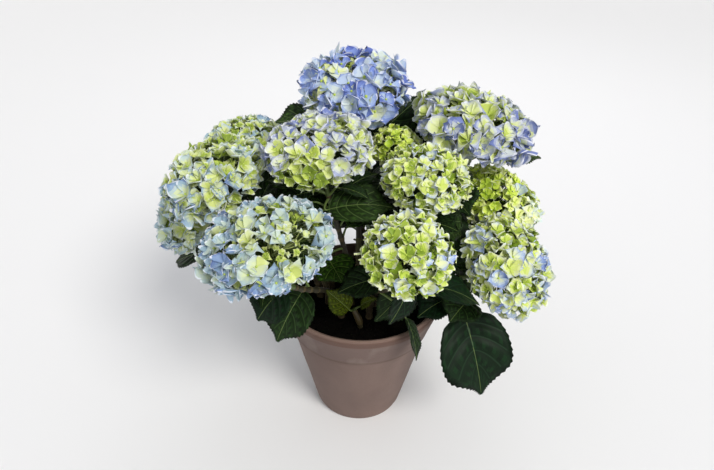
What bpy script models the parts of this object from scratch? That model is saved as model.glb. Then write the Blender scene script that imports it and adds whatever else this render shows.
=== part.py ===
"""A mophead hydrangea in its clay pot, in metres, +Z up.

The origin is the middle of the pot's flat underside and the front of the plant faces -Y.
Each flowering cane is three solids on one curve: the bare cane, the leafy shoot that it
carries, and the flower head, each starting a small gap above the one below.
"""

import math
import random
from typing import NamedTuple

import bmesh
import bpy
from mathutils import Vector
from mathutils.bvhtree import BVHTree

GAP = 0.0003
SEED = 11

# ---- Pot and soil ----
POT_HEIGHT = 0.210
RIM_RADIUS = 0.120
RIM_WALL = 0.009
LIP_HEIGHT = 0.010
BAND_HEIGHT = 0.055
BAND_FOOT_RADIUS = 0.1046
BODY_TOP_RADIUS = 0.1016
BASE_RADIUS = 0.0655
BODY_WALL = 0.008
FLOOR_THICKNESS = 0.012
LIP_STEP = 0.0012
LIP_FALL = 0.001
BAND_BEVEL = 0.005
BAND_STEP = 0.003
SHOULDER_DROP = 0.006
FOOT_BEVEL = 0.006
FOOT_FLARE = 0.0028
BEAD_STEPS = 4
SOIL_TOP = 0.188
TURN_STEPS = 36

# ---- Canes ----
FOOT_SPREAD = 0.25
LOWER_HANDLE = 0.40
UPPER_HANDLE = 0.38
CANE_FOOT_RADIUS = 0.0044
CANE_TIP_RADIUS = 0.0027
CANE_SIDES = 5
LEAFY_FROM = 0.36
SPROUT_FOOT = (0.000, -0.062)
SPROUT_RISE = (-0.010, 0.006, 0.028)
SPROUT_BEND = 0.7
NECK = 0.024
CURVE_STEPS = 60
CANE_STEPS = 4
SHOOT_STEPS = 5
NECK_STEPS = 3

# ---- Flower heads ----
CORE_SCALE = 0.85
ROOT_DEPTH = 0.10
FLORET_LEVEL = 0.93
FLORET_PITCH = 0.0355
FLORET_PITCH_SHARE = 0.54
FLORET_FILL = 0.88
HEAD_COVER = -0.58
FLORET_TILT = 0.26
FLORET_SIZE_RANGE = (0.92, 1.08)
SEPAL_CUP_RANGE = (0.12, 0.28)
SEPALS = 4
CORE_AROUND = 8
CORE_LEVELS = 5
GOLDEN_ANGLE = math.pi * (3 - math.sqrt(5))

# ---- Leaves ----
LEAF_HALF_THICKNESS = 0.007
LEAF_STATIONS = ((0.11, 0.62), (0.42, 1.0), (0.76, 0.60))
LEAF_TROUGH = 0.16
PETIOLE_RADIUS = 0.0017
PETIOLE_FLARE = 1.2
PETIOLE_THINNING = 0.3
STALK_STEPS = 2
STALK_LOWER_HANDLE = 0.45
STALK_UPPER_HANDLE = 0.30
STALK_CLIMB = 0.8

# ---- The rule for leaves that grow in pairs ----
LEAF_TRIES = 40
PAIR_STATIONS = (0.34, 0.48, 0.62, 0.76, 0.89)
STATION_SCATTER = 0.04
LAST_STATION = 0.91
HEADING_SCATTER = 0.6
SHORTEST_LEAF = 0.080
LONGEST_LEAF = 0.130
SIZE_RANGE = (0.72, 1.0)
SIZE_LOSS = 0.07
CLIMB_RANGE = (-0.55, 0.45)
CLIMB_GAIN = 0.08
STALK_RANGE = (0.018, 0.034)
ROLL_SCATTER = 0.4
WIDTH_RANGE = (0.60, 0.72)
ARCH_RANGE = (0.06, 0.13)

# ---- The room that leaves keep ----
PROBE_PARTS = (0.0, 0.25, 0.5, 0.75, 1.0)
LEAF_CLEARANCE = 0.0022
HEAD_MARGIN = 0.008
TEST_STEPS = 16
TEST_AROUND = 16
TEST_LEVELS = 10
REAR_HALF = 0.052
LOWEST_FRONT_LEAF = 0.282
LOWEST_BACK_LEAF = 0.165
FOREMOST_LEAF = -0.180
# Spaces that stay open, by their lowest and highest corners: over the soil, under a head in
# front of the canes, and over a head.
OPEN_SPACES = (
    ((-0.066, -0.200, 0.200), (0.030, -0.030, 0.365)),
    ((-0.066, -0.200, 0.365), (0.040, -0.060, 0.400)),
    ((0.130, -0.060, 0.340), (0.270, 0.060, 0.420)),
)


class Head(NamedTuple):
    """A flower head: its middle, half width, half height and the way it leans."""

    centre: tuple
    radius: float
    half_height: float
    lean: tuple


HEADS = {
    "top": Head((-0.013, 0.082, 0.485), 0.070, 0.041, (-0.05, -0.05, 1.0)),
    "upper_right": Head((0.150, 0.064, 0.444), 0.080, 0.038, (0.22, 0.00, 1.0)),
    "centre_left": Head((-0.054, -0.045, 0.456), 0.066, 0.034, (-0.12, -0.08, 1.0)),
    "back_left": Head((-0.177, 0.115, 0.384), 0.060, 0.038, (-0.30, 0.25, 1.0)),
    "left": Head((-0.189, -0.035, 0.412), 0.069, 0.038, (-0.45, -0.05, 0.9)),
    "left_low": Head((-0.240, 0.025, 0.318), 0.058, 0.038, (-0.80, 0.00, 0.6)),
    "lower_left": Head((-0.108, -0.160, 0.393), 0.076, 0.038, (-0.20, 0.00, 1.0)),
    "small_green": Head((0.046, 0.050, 0.414), 0.036, 0.028, (0.20, 0.10, 1.0)),
    "right_centre": Head((0.078, -0.055, 0.423), 0.055, 0.036, (0.10, -0.10, 1.0)),
    "right_upper": Head((0.195, 0.054, 0.329), 0.065, 0.044, (0.50, 0.00, 0.9)),
    "right_lower": Head((0.184, -0.092, 0.322), 0.067, 0.044, (0.65, -0.30, 0.6)),
    "front": Head((0.051, -0.165, 0.388), 0.052, 0.040, (0.10, -0.20, 0.9)),
    "back_centre": Head((0.008, 0.205, 0.302), 0.062, 0.040, (0.10, 0.60, 0.9)),
    "back_right": Head((0.128, 0.170, 0.302), 0.060, 0.040, (0.50, 0.60, 0.8)),
    "back_low_left": Head((-0.132, 0.185, 0.286), 0.058, 0.038, (-0.50, 0.60, 0.8)),
}


class PosedLeaf(NamedTuple):
    """A leaf with a place of its own: its cane, where its stalk leaves, and the blade."""

    cane: str
    station: float
    base: tuple
    tip: tuple
    width: float
    face: tuple
    arch: float


# The ways that a leaf's upper side faces.
UP = (0.0, -0.35, 0.95)
FRONT = (0.0, -0.60, 0.80)
FRONT_HIGH = (0.20, -0.80, 0.45)
FRONT_LEFT = (-0.20, -0.50, 0.75)
FRONT_RIGHT = (0.60, -0.60, 0.50)
RIGHT = (0.85, -0.30, 0.40)

POSED_LEAVES = {
    "hanging_right": PosedLeaf(
        "right_lower", 0.45, (0.140, -0.070, 0.230), (0.172, -0.120, 0.116),
        0.102, FRONT_HIGH, 0.08,
    ),
    "behind_hanging": PosedLeaf(
        "right_lower", 0.70, (0.145, -0.080, 0.255), (0.115, -0.120, 0.250),
        0.055, UP, 0.10,
    ),
    "right_low": PosedLeaf(
        "right_lower", 0.30, (0.120, -0.070, 0.250), (0.075, -0.100, 0.240),
        0.045, UP, 0.10,
    ),
    "over_rim": PosedLeaf(
        "front", 0.20, (0.060, -0.100, 0.240), (0.075, -0.135, 0.195),
        0.030, RIGHT, 0.06,
    ),
    "front_fold": PosedLeaf(
        "front", 0.75, (0.060, -0.130, 0.325), (0.035, -0.150, 0.270),
        0.035, FRONT_RIGHT, 0.06,
    ),
    "front_left": PosedLeaf(
        "front", 0.55, (0.030, -0.100, 0.305), (-0.030, -0.120, 0.295),
        0.045, UP, 0.10,
    ),
    "centre_low": PosedLeaf(
        "centre_left", 0.20, (-0.045, -0.040, 0.290), (-0.025, -0.080, 0.280),
        0.055, FRONT, 0.08,
    ),
    "big_centre": PosedLeaf(
        "centre_left", 0.85, (-0.045, -0.060, 0.380), (0.040, -0.060, 0.385),
        0.060, UP, 0.10,
    ),
    "under_centre_left": PosedLeaf(
        "centre_left", 0.90, (-0.065, -0.040, 0.395), (-0.120, -0.050, 0.375),
        0.040, UP, 0.08,
    ),
    "top_left": PosedLeaf(
        "top", 0.90, (-0.055, 0.080, 0.430), (-0.120, 0.060, 0.445),
        0.060, UP, 0.08,
    ),
    "top_right": PosedLeaf(
        "top", 0.80, (0.015, 0.110, 0.395), (0.085, 0.140, 0.455),
        0.065, FRONT, 0.05,
    ),
    "behind_small": PosedLeaf(
        "upper_right", 0.90, (0.093, 0.086, 0.377), (0.072, 0.146, 0.433),
        0.050, FRONT, 0.06,
    ),
    "right_tip": PosedLeaf(
        "upper_right", 0.90, (0.170, 0.080, 0.388), (0.260, 0.095, 0.380),
        0.040, UP, 0.06,
    ),
    "lower_left_upper": PosedLeaf(
        "lower_left", 0.60, (-0.095, -0.120, 0.305), (-0.130, -0.140, 0.265),
        0.060, FRONT_LEFT, 0.08,
    ),
    "lower_left_under": PosedLeaf(
        "lower_left", 0.30, (-0.075, -0.080, 0.270), (-0.110, -0.125, 0.215),
        0.070, FRONT_LEFT, 0.08,
    ),
    "left_corner": PosedLeaf(
        "left_low", 0.90, (-0.225, 0.030, 0.250), (-0.285, 0.050, 0.215),
        0.045, UP, 0.05,
    ),
    "left_inner": PosedLeaf(
        "left", 0.40, (-0.055, -0.010, 0.330), (-0.095, -0.030, 0.320),
        0.040, UP, 0.06,
    ),
    "middle": PosedLeaf(
        "right_centre", 0.70, (0.035, -0.030, 0.345), (-0.005, 0.000, 0.340),
        0.040, UP, 0.06,
    ),
    "right_middle": PosedLeaf(
        "right_centre", 0.90, (0.095, -0.050, 0.370), (0.130, -0.050, 0.335),
        0.045, UP, 0.08,
    ),
    "right_behind": PosedLeaf(
        "right_upper", 0.70, (0.141, 0.054, 0.269), (0.188, 0.124, 0.275),
        0.054, UP, 0.06,
    ),
    "front_low": PosedLeaf(
        "right_lower", 0.60, (0.075, -0.051, 0.269), (0.019, -0.095, 0.227),
        0.051, FRONT_HIGH, 0.06,
    ),
    "left_behind": PosedLeaf(
        "left", 0.90, (-0.128, -0.015, 0.343), (-0.125, 0.048, 0.401),
        0.058, UP, 0.06,
    ),
    "sprout_broad": PosedLeaf(
        "sprout", 0.90, (-0.015, -0.075, 0.230), (-0.045, -0.090, 0.275),
        0.035, FRONT_LEFT, 0.03,
    ),
    "sprout_small": PosedLeaf(
        "sprout", 0.90, (0.000, -0.055, 0.220), (0.020, -0.080, 0.255),
        0.015, FRONT, 0.06,
    ),
}

# ---- Materials: base colour, roughness ----
FINISHES = {
    "clay": ((0.195, 0.128, 0.112), 0.85),
    "soil": ((0.020, 0.014, 0.010), 0.98),
    "cane": ((0.120, 0.110, 0.055), 0.75),
    "leaf": ((0.026, 0.080, 0.024), 0.50),
    "lime": ((0.480, 0.580, 0.160), 0.65),
    "pale_blue": ((0.480, 0.570, 0.720), 0.65),
    "blue": ((0.240, 0.300, 0.720), 0.65),
}
HEAD_FINISH = {
    "top": "blue",
    "upper_right": "pale_blue",
    "centre_left": "pale_blue",
    "lower_left": "pale_blue",
    "left_low": "pale_blue",
}


# ---- Curves ----


def bezier(a, b, c, d, t):
    s = 1 - t
    return a * s**3 + b * 3 * s * s * t + c * 3 * s * t * t + d * t**3


def bezier_slope(a, b, c, d, t):
    s = 1 - t
    return ((b - a) * s * s + (c - b) * 2 * s * t + (d - c) * t * t).normalized()


class Cane:
    """One smooth curve from the soil upwards, read by distance along it."""

    def __init__(self, name, corners, leafy_from, neck_below):
        steps = [i / CURVE_STEPS for i in range(CURVE_STEPS + 1)]
        self.name = name
        self.points = [bezier(*corners, t) for t in steps]
        self.slopes = [bezier_slope(*corners, t) for t in steps]
        self.reach = [0.0]
        for before, after in zip(self.points, self.points[1:]):
            self.reach.append(self.reach[-1] + (after - before).length)
        self.length = self.reach[-1]
        self.neck = self.length - neck_below
        self.fork = leafy_from * self.neck

    def at(self, distance):
        """The point and the direction at this distance along the curve."""
        i = 0
        while i < CURVE_STEPS - 1 and self.reach[i + 1] < distance:
            i += 1
        part = (distance - self.reach[i]) / (self.reach[i + 1] - self.reach[i])
        point = self.points[i].lerp(self.points[i + 1], part)
        return point, self.slopes[i].lerp(self.slopes[i + 1], part).normalized()

    def radius(self, distance):
        """The cane thins evenly from its foot to its end."""
        part = distance / self.length
        return CANE_FOOT_RADIUS + (CANE_TIP_RADIUS - CANE_FOOT_RADIUS) * part

    def tube(self, start, end, steps, extra=0.0):
        """A tube between two distances, with both ends cut square to the curve."""
        stops = [start + (end - start) * i / steps for i in range(steps + 1)]
        places = [self.at(stop) for stop in stops]
        radii = [self.radius(stop) + extra for stop in stops]
        return tube_shape(places, radii, CANE_SIDES)


def flowering_cane(name, head):
    """A cane that rises from the soil and turns into the head along the head's lean."""
    axis = Vector(head.lean).normalized()
    centre = Vector(head.centre)
    foot = Vector((FOOT_SPREAD * centre.x, FOOT_SPREAD * centre.y, SOIL_TOP + GAP))
    end = centre - 0.5 * head.half_height * axis
    span = (end - foot).length
    lower = foot + Vector((0, 0, LOWER_HANDLE * span))
    upper = end - UPPER_HANDLE * span * axis
    neck_below = NECK + (CORE_SCALE - 0.5) * head.half_height
    return Cane(name, (foot, lower, upper, end), LEAFY_FROM, neck_below)


def young_cane():
    """A short leafy sprout with no flower, near the front of the pot."""
    foot = Vector((*SPROUT_FOOT, SOIL_TOP + GAP))
    top = foot + Vector(SPROUT_RISE)
    lower = foot + Vector((0, 0, 0.5 * SPROUT_RISE[2]))
    return Cane("sprout", (foot, lower, foot.lerp(top, SPROUT_BEND), top), 0.0, 0.0)


def side_axes(direction):
    """Two unit vectors square to a direction and to each other."""
    helper = Vector((0, 1, 0)) if abs(direction.y) < 0.9 else Vector((1, 0, 0))
    first = direction.cross(helper).normalized()
    return first, direction.cross(first).normalized()


# ---- Shapes as points and faces ----


def tube_shape(places, radii, sides):
    """A closed tube through (point, direction) places, with a flat cap at each end."""
    verts, faces = [], []
    first, _ = side_axes(places[0][1])
    for (point, along), radius in zip(places, radii):
        first = (first - along * first.dot(along)).normalized()
        second = along.cross(first)
        for k in range(sides):
            angle = 2 * math.pi * k / sides
            spoke = first * math.cos(angle) + second * math.sin(angle)
            verts.append(point + spoke * radius)
    for i in range(len(places) - 1):
        for k in range(sides):
            a, b = i * sides + k, i * sides + (k + 1) % sides
            faces.append((a, b, b + sides, a + sides))
    last = (len(places) - 1) * sides
    faces.append(tuple(range(sides))[::-1])
    faces.append(tuple(range(last, last + sides)))
    return verts, faces


class Leaf(NamedTuple):
    """A leaf's stalk and blade, as the plan settles them."""

    stalk: tuple
    base: Vector
    tip: Vector
    width: float
    face: Vector
    arch: float


def blade_frame(leaf, part):
    """The midrib's point, and the blade's side and upward directions, at a part of its length."""
    along = leaf.tip - leaf.base
    length = along.length
    along = along / length
    up = (leaf.face - along * leaf.face.dot(along)).normalized()
    side = up.cross(along)
    bend = leaf.arch * length
    point = leaf.base.lerp(leaf.tip, part) + up * (4 * bend * part * (1 - part))
    slope = 4 * leaf.arch * (1 - 2 * part)
    tilted_up = (up - along * slope).normalized()
    return point, side, tilted_up


def section(middle, side, up, half_width, half_height, lift=0.0):
    """A four-cornered cross-section, with its side corners raised by the lift."""
    raised = up * lift
    return [
        middle + side * half_width + raised,
        middle + up * half_height,
        middle - side * half_width + raised,
        middle - up * half_height,
    ]


def lofted(sections, tip=None):
    """A closed skin over four-cornered sections, flat at its root and pointed at its tip."""
    verts = [corner for corners in sections for corner in corners]
    last = len(verts) - 4
    faces = [(3, 2, 1, 0)]
    for i in range(0, last, 4):
        for k in range(4):
            a, b = i + k, i + (k + 1) % 4
            faces.append((a, b, b + 4, a + 4))
    if tip is None:
        faces.append((last, last + 1, last + 2, last + 3))
    else:
        verts.append(tip)
        faces += [(last + k, last + (k + 1) % 4, last + 4) for k in range(4)]
    return verts, faces


def blade_sections(leaf, extra=0.0):
    length = (leaf.tip - leaf.base).length
    thick = LEAF_HALF_THICKNESS * length + extra
    sections = []
    for part, fullness in LEAF_STATIONS:
        middle, side, up = blade_frame(leaf, part)
        half = 0.5 * leaf.width * fullness + extra
        sections.append(section(middle, side, up, half, thick, LEAF_TROUGH * half))
    return sections


def stalk_sections(leaf, extra=0.0):
    """A stalk leaves its cane, swings round to the blade's root, and doesn't twist."""
    start, direction = leaf.stalk
    reach = (leaf.base - start).length
    along = (leaf.tip - leaf.base).normalized()
    lower = start + direction * STALK_LOWER_HANDLE * reach
    upper = leaf.base - along * STALK_UPPER_HANDLE * reach
    count = STALK_STEPS
    points = [bezier(start, lower, upper, leaf.base, i / count) for i in range(count + 1)]
    _, side, up = blade_frame(leaf, 0.0)
    sections = []
    for i in range(count, -1, -1):
        tangent = (points[min(i + 1, count)] - points[max(i - 1, 0)]).normalized()
        side = (side - tangent * side.dot(tangent)).normalized()
        up = tangent.cross(side)
        radius = PETIOLE_RADIUS * (PETIOLE_FLARE - PETIOLE_THINNING * i / count) + extra
        sections.append(section(points[i], side, up, radius, radius))
    return sections[::-1]


def blade_shape(leaf, extra=0.0):
    """The blade alone; extra makes it thicker and wider for tests."""
    root, side, up = blade_frame(leaf, 0.0)
    start = section(root, side, up, PETIOLE_RADIUS + extra, PETIOLE_RADIUS + extra)
    along = (leaf.tip - leaf.base).normalized()
    return lofted([start] + blade_sections(leaf, extra), leaf.tip + along * extra)


def stalk_shape(leaf, extra=0.0):
    return lofted(stalk_sections(leaf, extra))


def leaf_shape(leaf):
    """A stalk and its blade in one skin, with a sharp edge all round the blade."""
    return lofted(stalk_sections(leaf) + blade_sections(leaf), leaf.tip)


def resized(head, scale, margin=0.0):
    """The same head with its ellipsoid scaled, and then grown by a margin all round."""
    radius = head.radius * scale + margin
    return head._replace(radius=radius, half_height=head.half_height * scale + margin)


def ellipsoid_shape(head, around, levels):
    """The head's ellipsoid, as rings between two poles."""
    axis = Vector(head.lean).normalized()
    first, second = side_axes(axis)
    centre = Vector(head.centre)
    verts = [centre - axis * head.half_height]
    for j in range(1, levels):
        height = -math.cos(math.pi * j / levels)
        ring = math.sin(math.pi * j / levels)
        for k in range(around):
            angle = 2 * math.pi * k / around
            spoke = first * math.cos(angle) + second * math.sin(angle)
            flat = spoke * head.radius * ring
            verts.append(centre + flat + axis * head.half_height * height)
    verts.append(centre + axis * head.half_height)
    faces = []
    last = len(verts) - 1
    top = last - around
    for k in range(around):
        after = (k + 1) % around
        faces.append((0, 1 + after, 1 + k))
        faces.append((last, top + k, top + after))
        for j in range(levels - 2):
            a, b = 1 + j * around + k, 1 + j * around + after
            faces.append((a, b, b + around, a + around))
    return verts, faces


# ---- The plan of the leaves ----


def tree_of(shape):
    return BVHTree.FromPolygons(*shape)


def inside_head(head, point):
    axis = Vector(head.lean).normalized()
    offset = point - Vector(head.centre)
    height = offset.dot(axis)
    flat = (offset - axis * height).length
    return (flat / head.radius) ** 2 + (height / head.half_height) ** 2 < 1


def in_open_space(leaf):
    """Whether a leaf reaches into an open space, or further forward than it may."""
    for part in PROBE_PARTS:
        point = blade_frame(leaf, part)[0]
        if point.y < FOREMOST_LEAF:
            return True
        for low, high in OPEN_SPACES:
            if all(a < at < b for a, at, b in zip(low, point, high)):
                return True
    return False


class Plan:
    """Where every cane and leaf goes, with each leaf clear of all that stands near it."""

    def __init__(self):
        self.canes = {name: flowering_cane(name, head) for name, head in HEADS.items()}
        self.canes["sprout"] = young_cane()
        self.leaves = {name: [] for name in self.canes}
        self.pot = tree_of(turned_shape(pot_profile(), TURN_STEPS))
        self.cane_trees = {}
        for name, cane in self.canes.items():
            whole = cane.tube(0.0, cane.length, TEST_STEPS, LEAF_CLEARANCE)
            self.cane_trees[name] = tree_of(whole)
        self.wide_heads = [resized(head, 1.0, HEAD_MARGIN) for head in HEADS.values()]
        self.head_trees = []
        for head in self.wide_heads:
            shape = ellipsoid_shape(head, TEST_AROUND, TEST_LEVELS)
            self.head_trees.append(tree_of(shape))
        self.taken = []
        for row in POSED_LEAVES.values():
            self.pose(row)
        for name in HEADS:
            self.grow(name)

    def free(self, name, leaf, lowest):
        """Whether a leaf touches nothing but its own cane and the stalks on it."""
        probes = [blade_frame(leaf, part)[0] for part in PROBE_PARTS]
        if min(point.z for point in probes) < lowest:
            return False
        for point in probes:
            if any(inside_head(head, point) for head in self.wide_heads):
                return False
        blade = tree_of(blade_shape(leaf, LEAF_CLEARANCE))
        stalk = tree_of(stalk_shape(leaf, LEAF_CLEARANCE))
        solids = [self.pot, *self.head_trees]
        solids += [tree for owner, tree in self.cane_trees.items() if owner != name]
        if any(blade.overlap(tree) or stalk.overlap(tree) for tree in solids):
            return False
        if blade.overlap(self.cane_trees[name]):
            return False
        for owner, taken_blade, taken_stalk in self.taken:
            if blade.overlap(taken_blade) or blade.overlap(taken_stalk):
                return False
            if stalk.overlap(taken_blade) or (owner != name and stalk.overlap(taken_stalk)):
                return False
        return True

    def accept(self, name, leaf):
        self.leaves[name].append(leaf)
        self.taken.append((name, tree_of(blade_shape(leaf)), tree_of(stalk_shape(leaf))))

    def stalk_from(self, cane, station, towards):
        """Where a stalk leaves the leafy stretch, and the direction that it sets off in."""
        start, along = cane.at(cane.fork + station * (cane.neck - cane.fork))
        outward = towards - start
        outward = (outward - along * outward.dot(along)).normalized()
        return start, (outward + STALK_CLIMB * along).normalized()

    def pose(self, row):
        cane = self.canes[row.cane]
        base = Vector(row.base)
        stalk = self.stalk_from(cane, row.station, base)
        face = Vector(row.face).normalized()
        leaf = Leaf(stalk, base, Vector(row.tip), row.width, face, row.arch)
        if self.free(row.cane, leaf, 0.0):
            self.accept(row.cane, leaf)

    def grow(self, name):
        """Opposite pairs up the shoot, each pair a quarter turn from the last."""
        cane = self.canes[name]
        behind = HEADS[name].centre[1] > REAR_HALF
        lowest = LOWEST_BACK_LEAF if behind else LOWEST_FRONT_LEAF
        rng = random.Random(f"{SEED} {name}")
        turn = rng.uniform(0, math.pi)
        for rank, station in enumerate(PAIR_STATIONS):
            for half in range(2):
                heading = turn + math.pi / 2 * rank + math.pi * half
                for _ in range(LEAF_TRIES):
                    leaf = self.candidate(cane, station, rank, heading, rng)
                    if not in_open_space(leaf) and self.free(name, leaf, lowest):
                        self.accept(name, leaf)
                        break

    def candidate(self, cane, station, rank, heading, rng):
        """One leaf by rule: outwards from the cane, its blade arching over and down."""
        station += rng.uniform(-STATION_SCATTER, STATION_SCATTER)
        station = min(station, LAST_STATION)
        start, along = cane.at(cane.fork + station * (cane.neck - cane.fork))
        first, second = side_axes(along)
        heading += rng.uniform(-HEADING_SCATTER, HEADING_SCATTER)
        outward = first * math.cos(heading) + second * math.sin(heading)
        size = rng.uniform(*SIZE_RANGE) * (1 - SIZE_LOSS * rank)
        length = max(SHORTEST_LEAF, LONGEST_LEAF * size)
        climb = rng.uniform(*CLIMB_RANGE) + CLIMB_GAIN * rank
        direction = (outward + Vector((0, 0, climb))).normalized()
        set_off = (outward + STALK_CLIMB * along).normalized()
        base = start + set_off * rng.uniform(*STALK_RANGE)
        tip = base + direction * length
        up = (Vector((0, 0, 1)) - direction * direction.z).normalized()
        roll = rng.uniform(-ROLL_SCATTER, ROLL_SCATTER)
        face = (up + direction.cross(up) * roll).normalized()
        width = length * rng.uniform(*WIDTH_RANGE)
        return Leaf((start, set_off), base, tip, width, face, rng.uniform(*ARCH_RANGE))


# ---- Turned pieces ----


def pot_profile():
    """Radius and height from the middle of the pot's floor, over the rim, to the base."""
    inner = RIM_RADIUS - RIM_WALL
    band_foot = POT_HEIGHT - BAND_HEIGHT
    lip_foot = POT_HEIGHT - LIP_HEIGHT
    bead = 0.5 * RIM_WALL
    profile = [(0.0, FLOOR_THICKNESS), (BASE_RADIUS - BODY_WALL, FLOOR_THICKNESS)]
    profile.append((BODY_TOP_RADIUS - BODY_WALL, band_foot - SHOULDER_DROP))
    profile.append((inner - LIP_STEP, lip_foot))
    for i in range(BEAD_STEPS + 1):
        angle = math.pi * i / BEAD_STEPS
        radius = inner + bead - bead * math.cos(angle)
        profile.append((radius, POT_HEIGHT - bead + bead * math.sin(angle)))
    profile.append((RIM_RADIUS - LIP_STEP, lip_foot - LIP_FALL))
    profile.append((BAND_FOOT_RADIUS + LIP_STEP, band_foot + BAND_BEVEL))
    profile.append((BAND_FOOT_RADIUS, band_foot))
    profile.append((BODY_TOP_RADIUS, band_foot - BAND_STEP))
    profile.append((BASE_RADIUS + FOOT_FLARE, FOOT_BEVEL))
    profile.append((BASE_RADIUS, 0.0))
    profile.append((0.0, 0.0))
    return profile


def pot_inner_radius(height):
    """The radius of the pot's inner wall at a height between its floor and its band."""
    bottom, top = pot_profile()[1:3]
    if height > top[1]:
        bottom, top = pot_profile()[2:4]
    return bottom[0] + (top[0] - bottom[0]) * (height - bottom[1]) / (top[1] - bottom[1])


def soil_profile():
    """A plug of soil that fills the pot to a little below the rim."""
    bend = pot_profile()[2][1]
    floor = FLOOR_THICKNESS + GAP
    profile = [(0.0, SOIL_TOP), (0.5 * RIM_RADIUS, SOIL_TOP)]
    profile.append((pot_inner_radius(SOIL_TOP) - 2 * GAP, SOIL_TOP))
    profile.append((pot_inner_radius(bend) - 2 * GAP, bend))
    profile.append((pot_inner_radius(floor) - 2 * GAP, floor))
    profile.append((0.0, floor))
    return profile


def turned_shape(profile, steps):
    """The same turned form as a Screw modifier gives, for the plan's tests."""
    verts, faces = [], []
    rings = [point for point in profile if point[0] > 0]
    for k in range(steps):
        angle = 2 * math.pi * k / steps
        for radius, height in rings:
            verts.append(Vector((radius * math.cos(angle), radius * math.sin(angle), height)))
    count = len(rings)
    for k in range(steps):
        after = (k + 1) % steps
        for i in range(count - 1):
            a, b = k * count + i, after * count + i
            faces.append((a, a + 1, b + 1, b))
    return verts, faces


# ---- Blender objects ----


def clear_scene():
    for obj in list(bpy.data.objects):
        bpy.data.objects.remove(obj, do_unlink=True)


def make_materials():
    materials = {}
    for name, (colour, roughness) in FINISHES.items():
        material = bpy.data.materials.new(name)
        material.use_nodes = True
        shader = material.node_tree.nodes["Principled BSDF"]
        shader.inputs["Base Color"].default_value = (*colour, 1)
        shader.inputs["Roughness"].default_value = roughness
        shader.inputs["Metallic"].default_value = 0.0
        materials[name] = material
    return materials


def mesh_object(name, shape, material, collection=None):
    verts, faces = shape
    mesh = bpy.data.meshes.new(name)
    mesh.from_pydata(verts, [], faces)
    mesh.materials.append(material)
    obj = bpy.data.objects.new(name, mesh)
    (collection or bpy.context.scene.collection).objects.link(obj)
    return obj


def turned_object(name, profile, material):
    """A profile turned about the Z axis by a Screw modifier."""
    mesh = bpy.data.meshes.new(name)
    form = bmesh.new()
    points = [form.verts.new((radius, 0, height)) for radius, height in profile]
    for before, after in zip(points, points[1:]):
        form.edges.new((before, after))
    form.to_mesh(mesh)
    form.free()
    mesh.materials.append(material)
    obj = bpy.data.objects.new(name, mesh)
    bpy.context.scene.collection.objects.link(obj)
    screw = obj.modifiers.new("turn", "SCREW")
    screw.axis = "Z"
    screw.steps = screw.render_steps = TURN_STEPS
    screw.use_merge_vertices = True
    screw.merge_threshold = 0.00001
    screw.use_smooth_shade = True
    return obj


def fuse(obj, pieces, solver):
    """Joins the pieces' collection to the object with one Boolean union, and applies it."""
    union = obj.modifiers.new("fuse", "BOOLEAN")
    union.operation = "UNION"
    union.operand_type = "COLLECTION"
    union.collection = pieces
    union.solver = solver
    bpy.context.view_layer.update()
    graph = bpy.context.evaluated_depsgraph_get()
    fused = bpy.data.meshes.new_from_object(obj.evaluated_get(graph))
    obj.modifiers.clear()
    obj.data = fused
    for piece in list(pieces.objects):
        bpy.data.objects.remove(piece, do_unlink=True)
    bpy.data.collections.remove(pieces)


def new_collection(name):
    collection = bpy.data.collections.new(name)
    bpy.context.scene.collection.children.link(collection)
    return collection


def make_cane(cane, materials):
    shape = cane.tube(0.0, cane.fork, CANE_STEPS)
    mesh_object(f"cane_{cane.name}", shape, materials["cane"])


def make_shoot(cane, leaves, materials):
    """The leafy stretch of a cane, with its leaves fused on by their stalks."""
    start = cane.fork + GAP if cane.fork else 0.0
    shape = cane.tube(start, cane.neck, SHOOT_STEPS)
    obj = mesh_object(f"shoot_{cane.name}", shape, materials["leaf"])
    pieces = new_collection(f"leaves_{cane.name}")
    for i, leaf in enumerate(leaves):
        mesh_object(f"leaf_{i}", leaf_shape(leaf), materials["leaf"], pieces)
    fuse(obj, pieces, "MANIFOLD")


def cap_area(head):
    """The area of the part of the head's ellipsoid that carries florets."""
    ratio = head.half_height / head.radius
    hollow = math.sqrt(1 - ratio**2)
    whole = 2 * math.pi * head.radius**2 * (1 + ratio**2 / hollow * math.atanh(hollow))
    return whole * (1 - HEAD_COVER) / 2


def floret_shape(head, pitch, level, heading, rng):
    """Four sepal tips round a lowered middle, on a root that is sunk in the core."""
    axis = Vector(head.lean).normalized()
    first, second = side_axes(axis)
    centre = Vector(head.centre)
    ring = math.sqrt(1 - level * level)
    spoke = first * math.cos(heading) + second * math.sin(heading)
    surface = spoke * head.radius * ring + axis * head.half_height * level
    normal = spoke * ring / head.radius + axis * level / head.half_height
    normal = normal.normalized()
    tilt_a, tilt_b = side_axes(normal)
    facing = normal + tilt_a * rng.uniform(-FLORET_TILT, FLORET_TILT)
    facing = (facing + tilt_b * rng.uniform(-FLORET_TILT, FLORET_TILT)).normalized()
    side_a, side_b = side_axes(facing)
    half = 0.5 * pitch * FLORET_FILL * rng.uniform(*FLORET_SIZE_RANGE)
    root = centre + surface * (CORE_SCALE - ROOT_DEPTH)
    middle = centre + surface * FLORET_LEVEL
    turn = rng.uniform(0, math.pi / 2)
    verts = [root, middle]
    for k in range(SEPALS):
        angle = turn + 2 * math.pi * k / SEPALS
        arm = side_a * math.cos(angle) + side_b * math.sin(angle)
        cup = half * rng.uniform(*SEPAL_CUP_RANGE)
        verts.append(middle + arm * half + facing * cup)
    faces = []
    for k in range(SEPALS):
        after = (k + 1) % SEPALS
        faces.append((0, 2 + after, 2 + k))
        faces.append((1, 2 + k, 2 + after))
    return verts, faces


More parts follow.
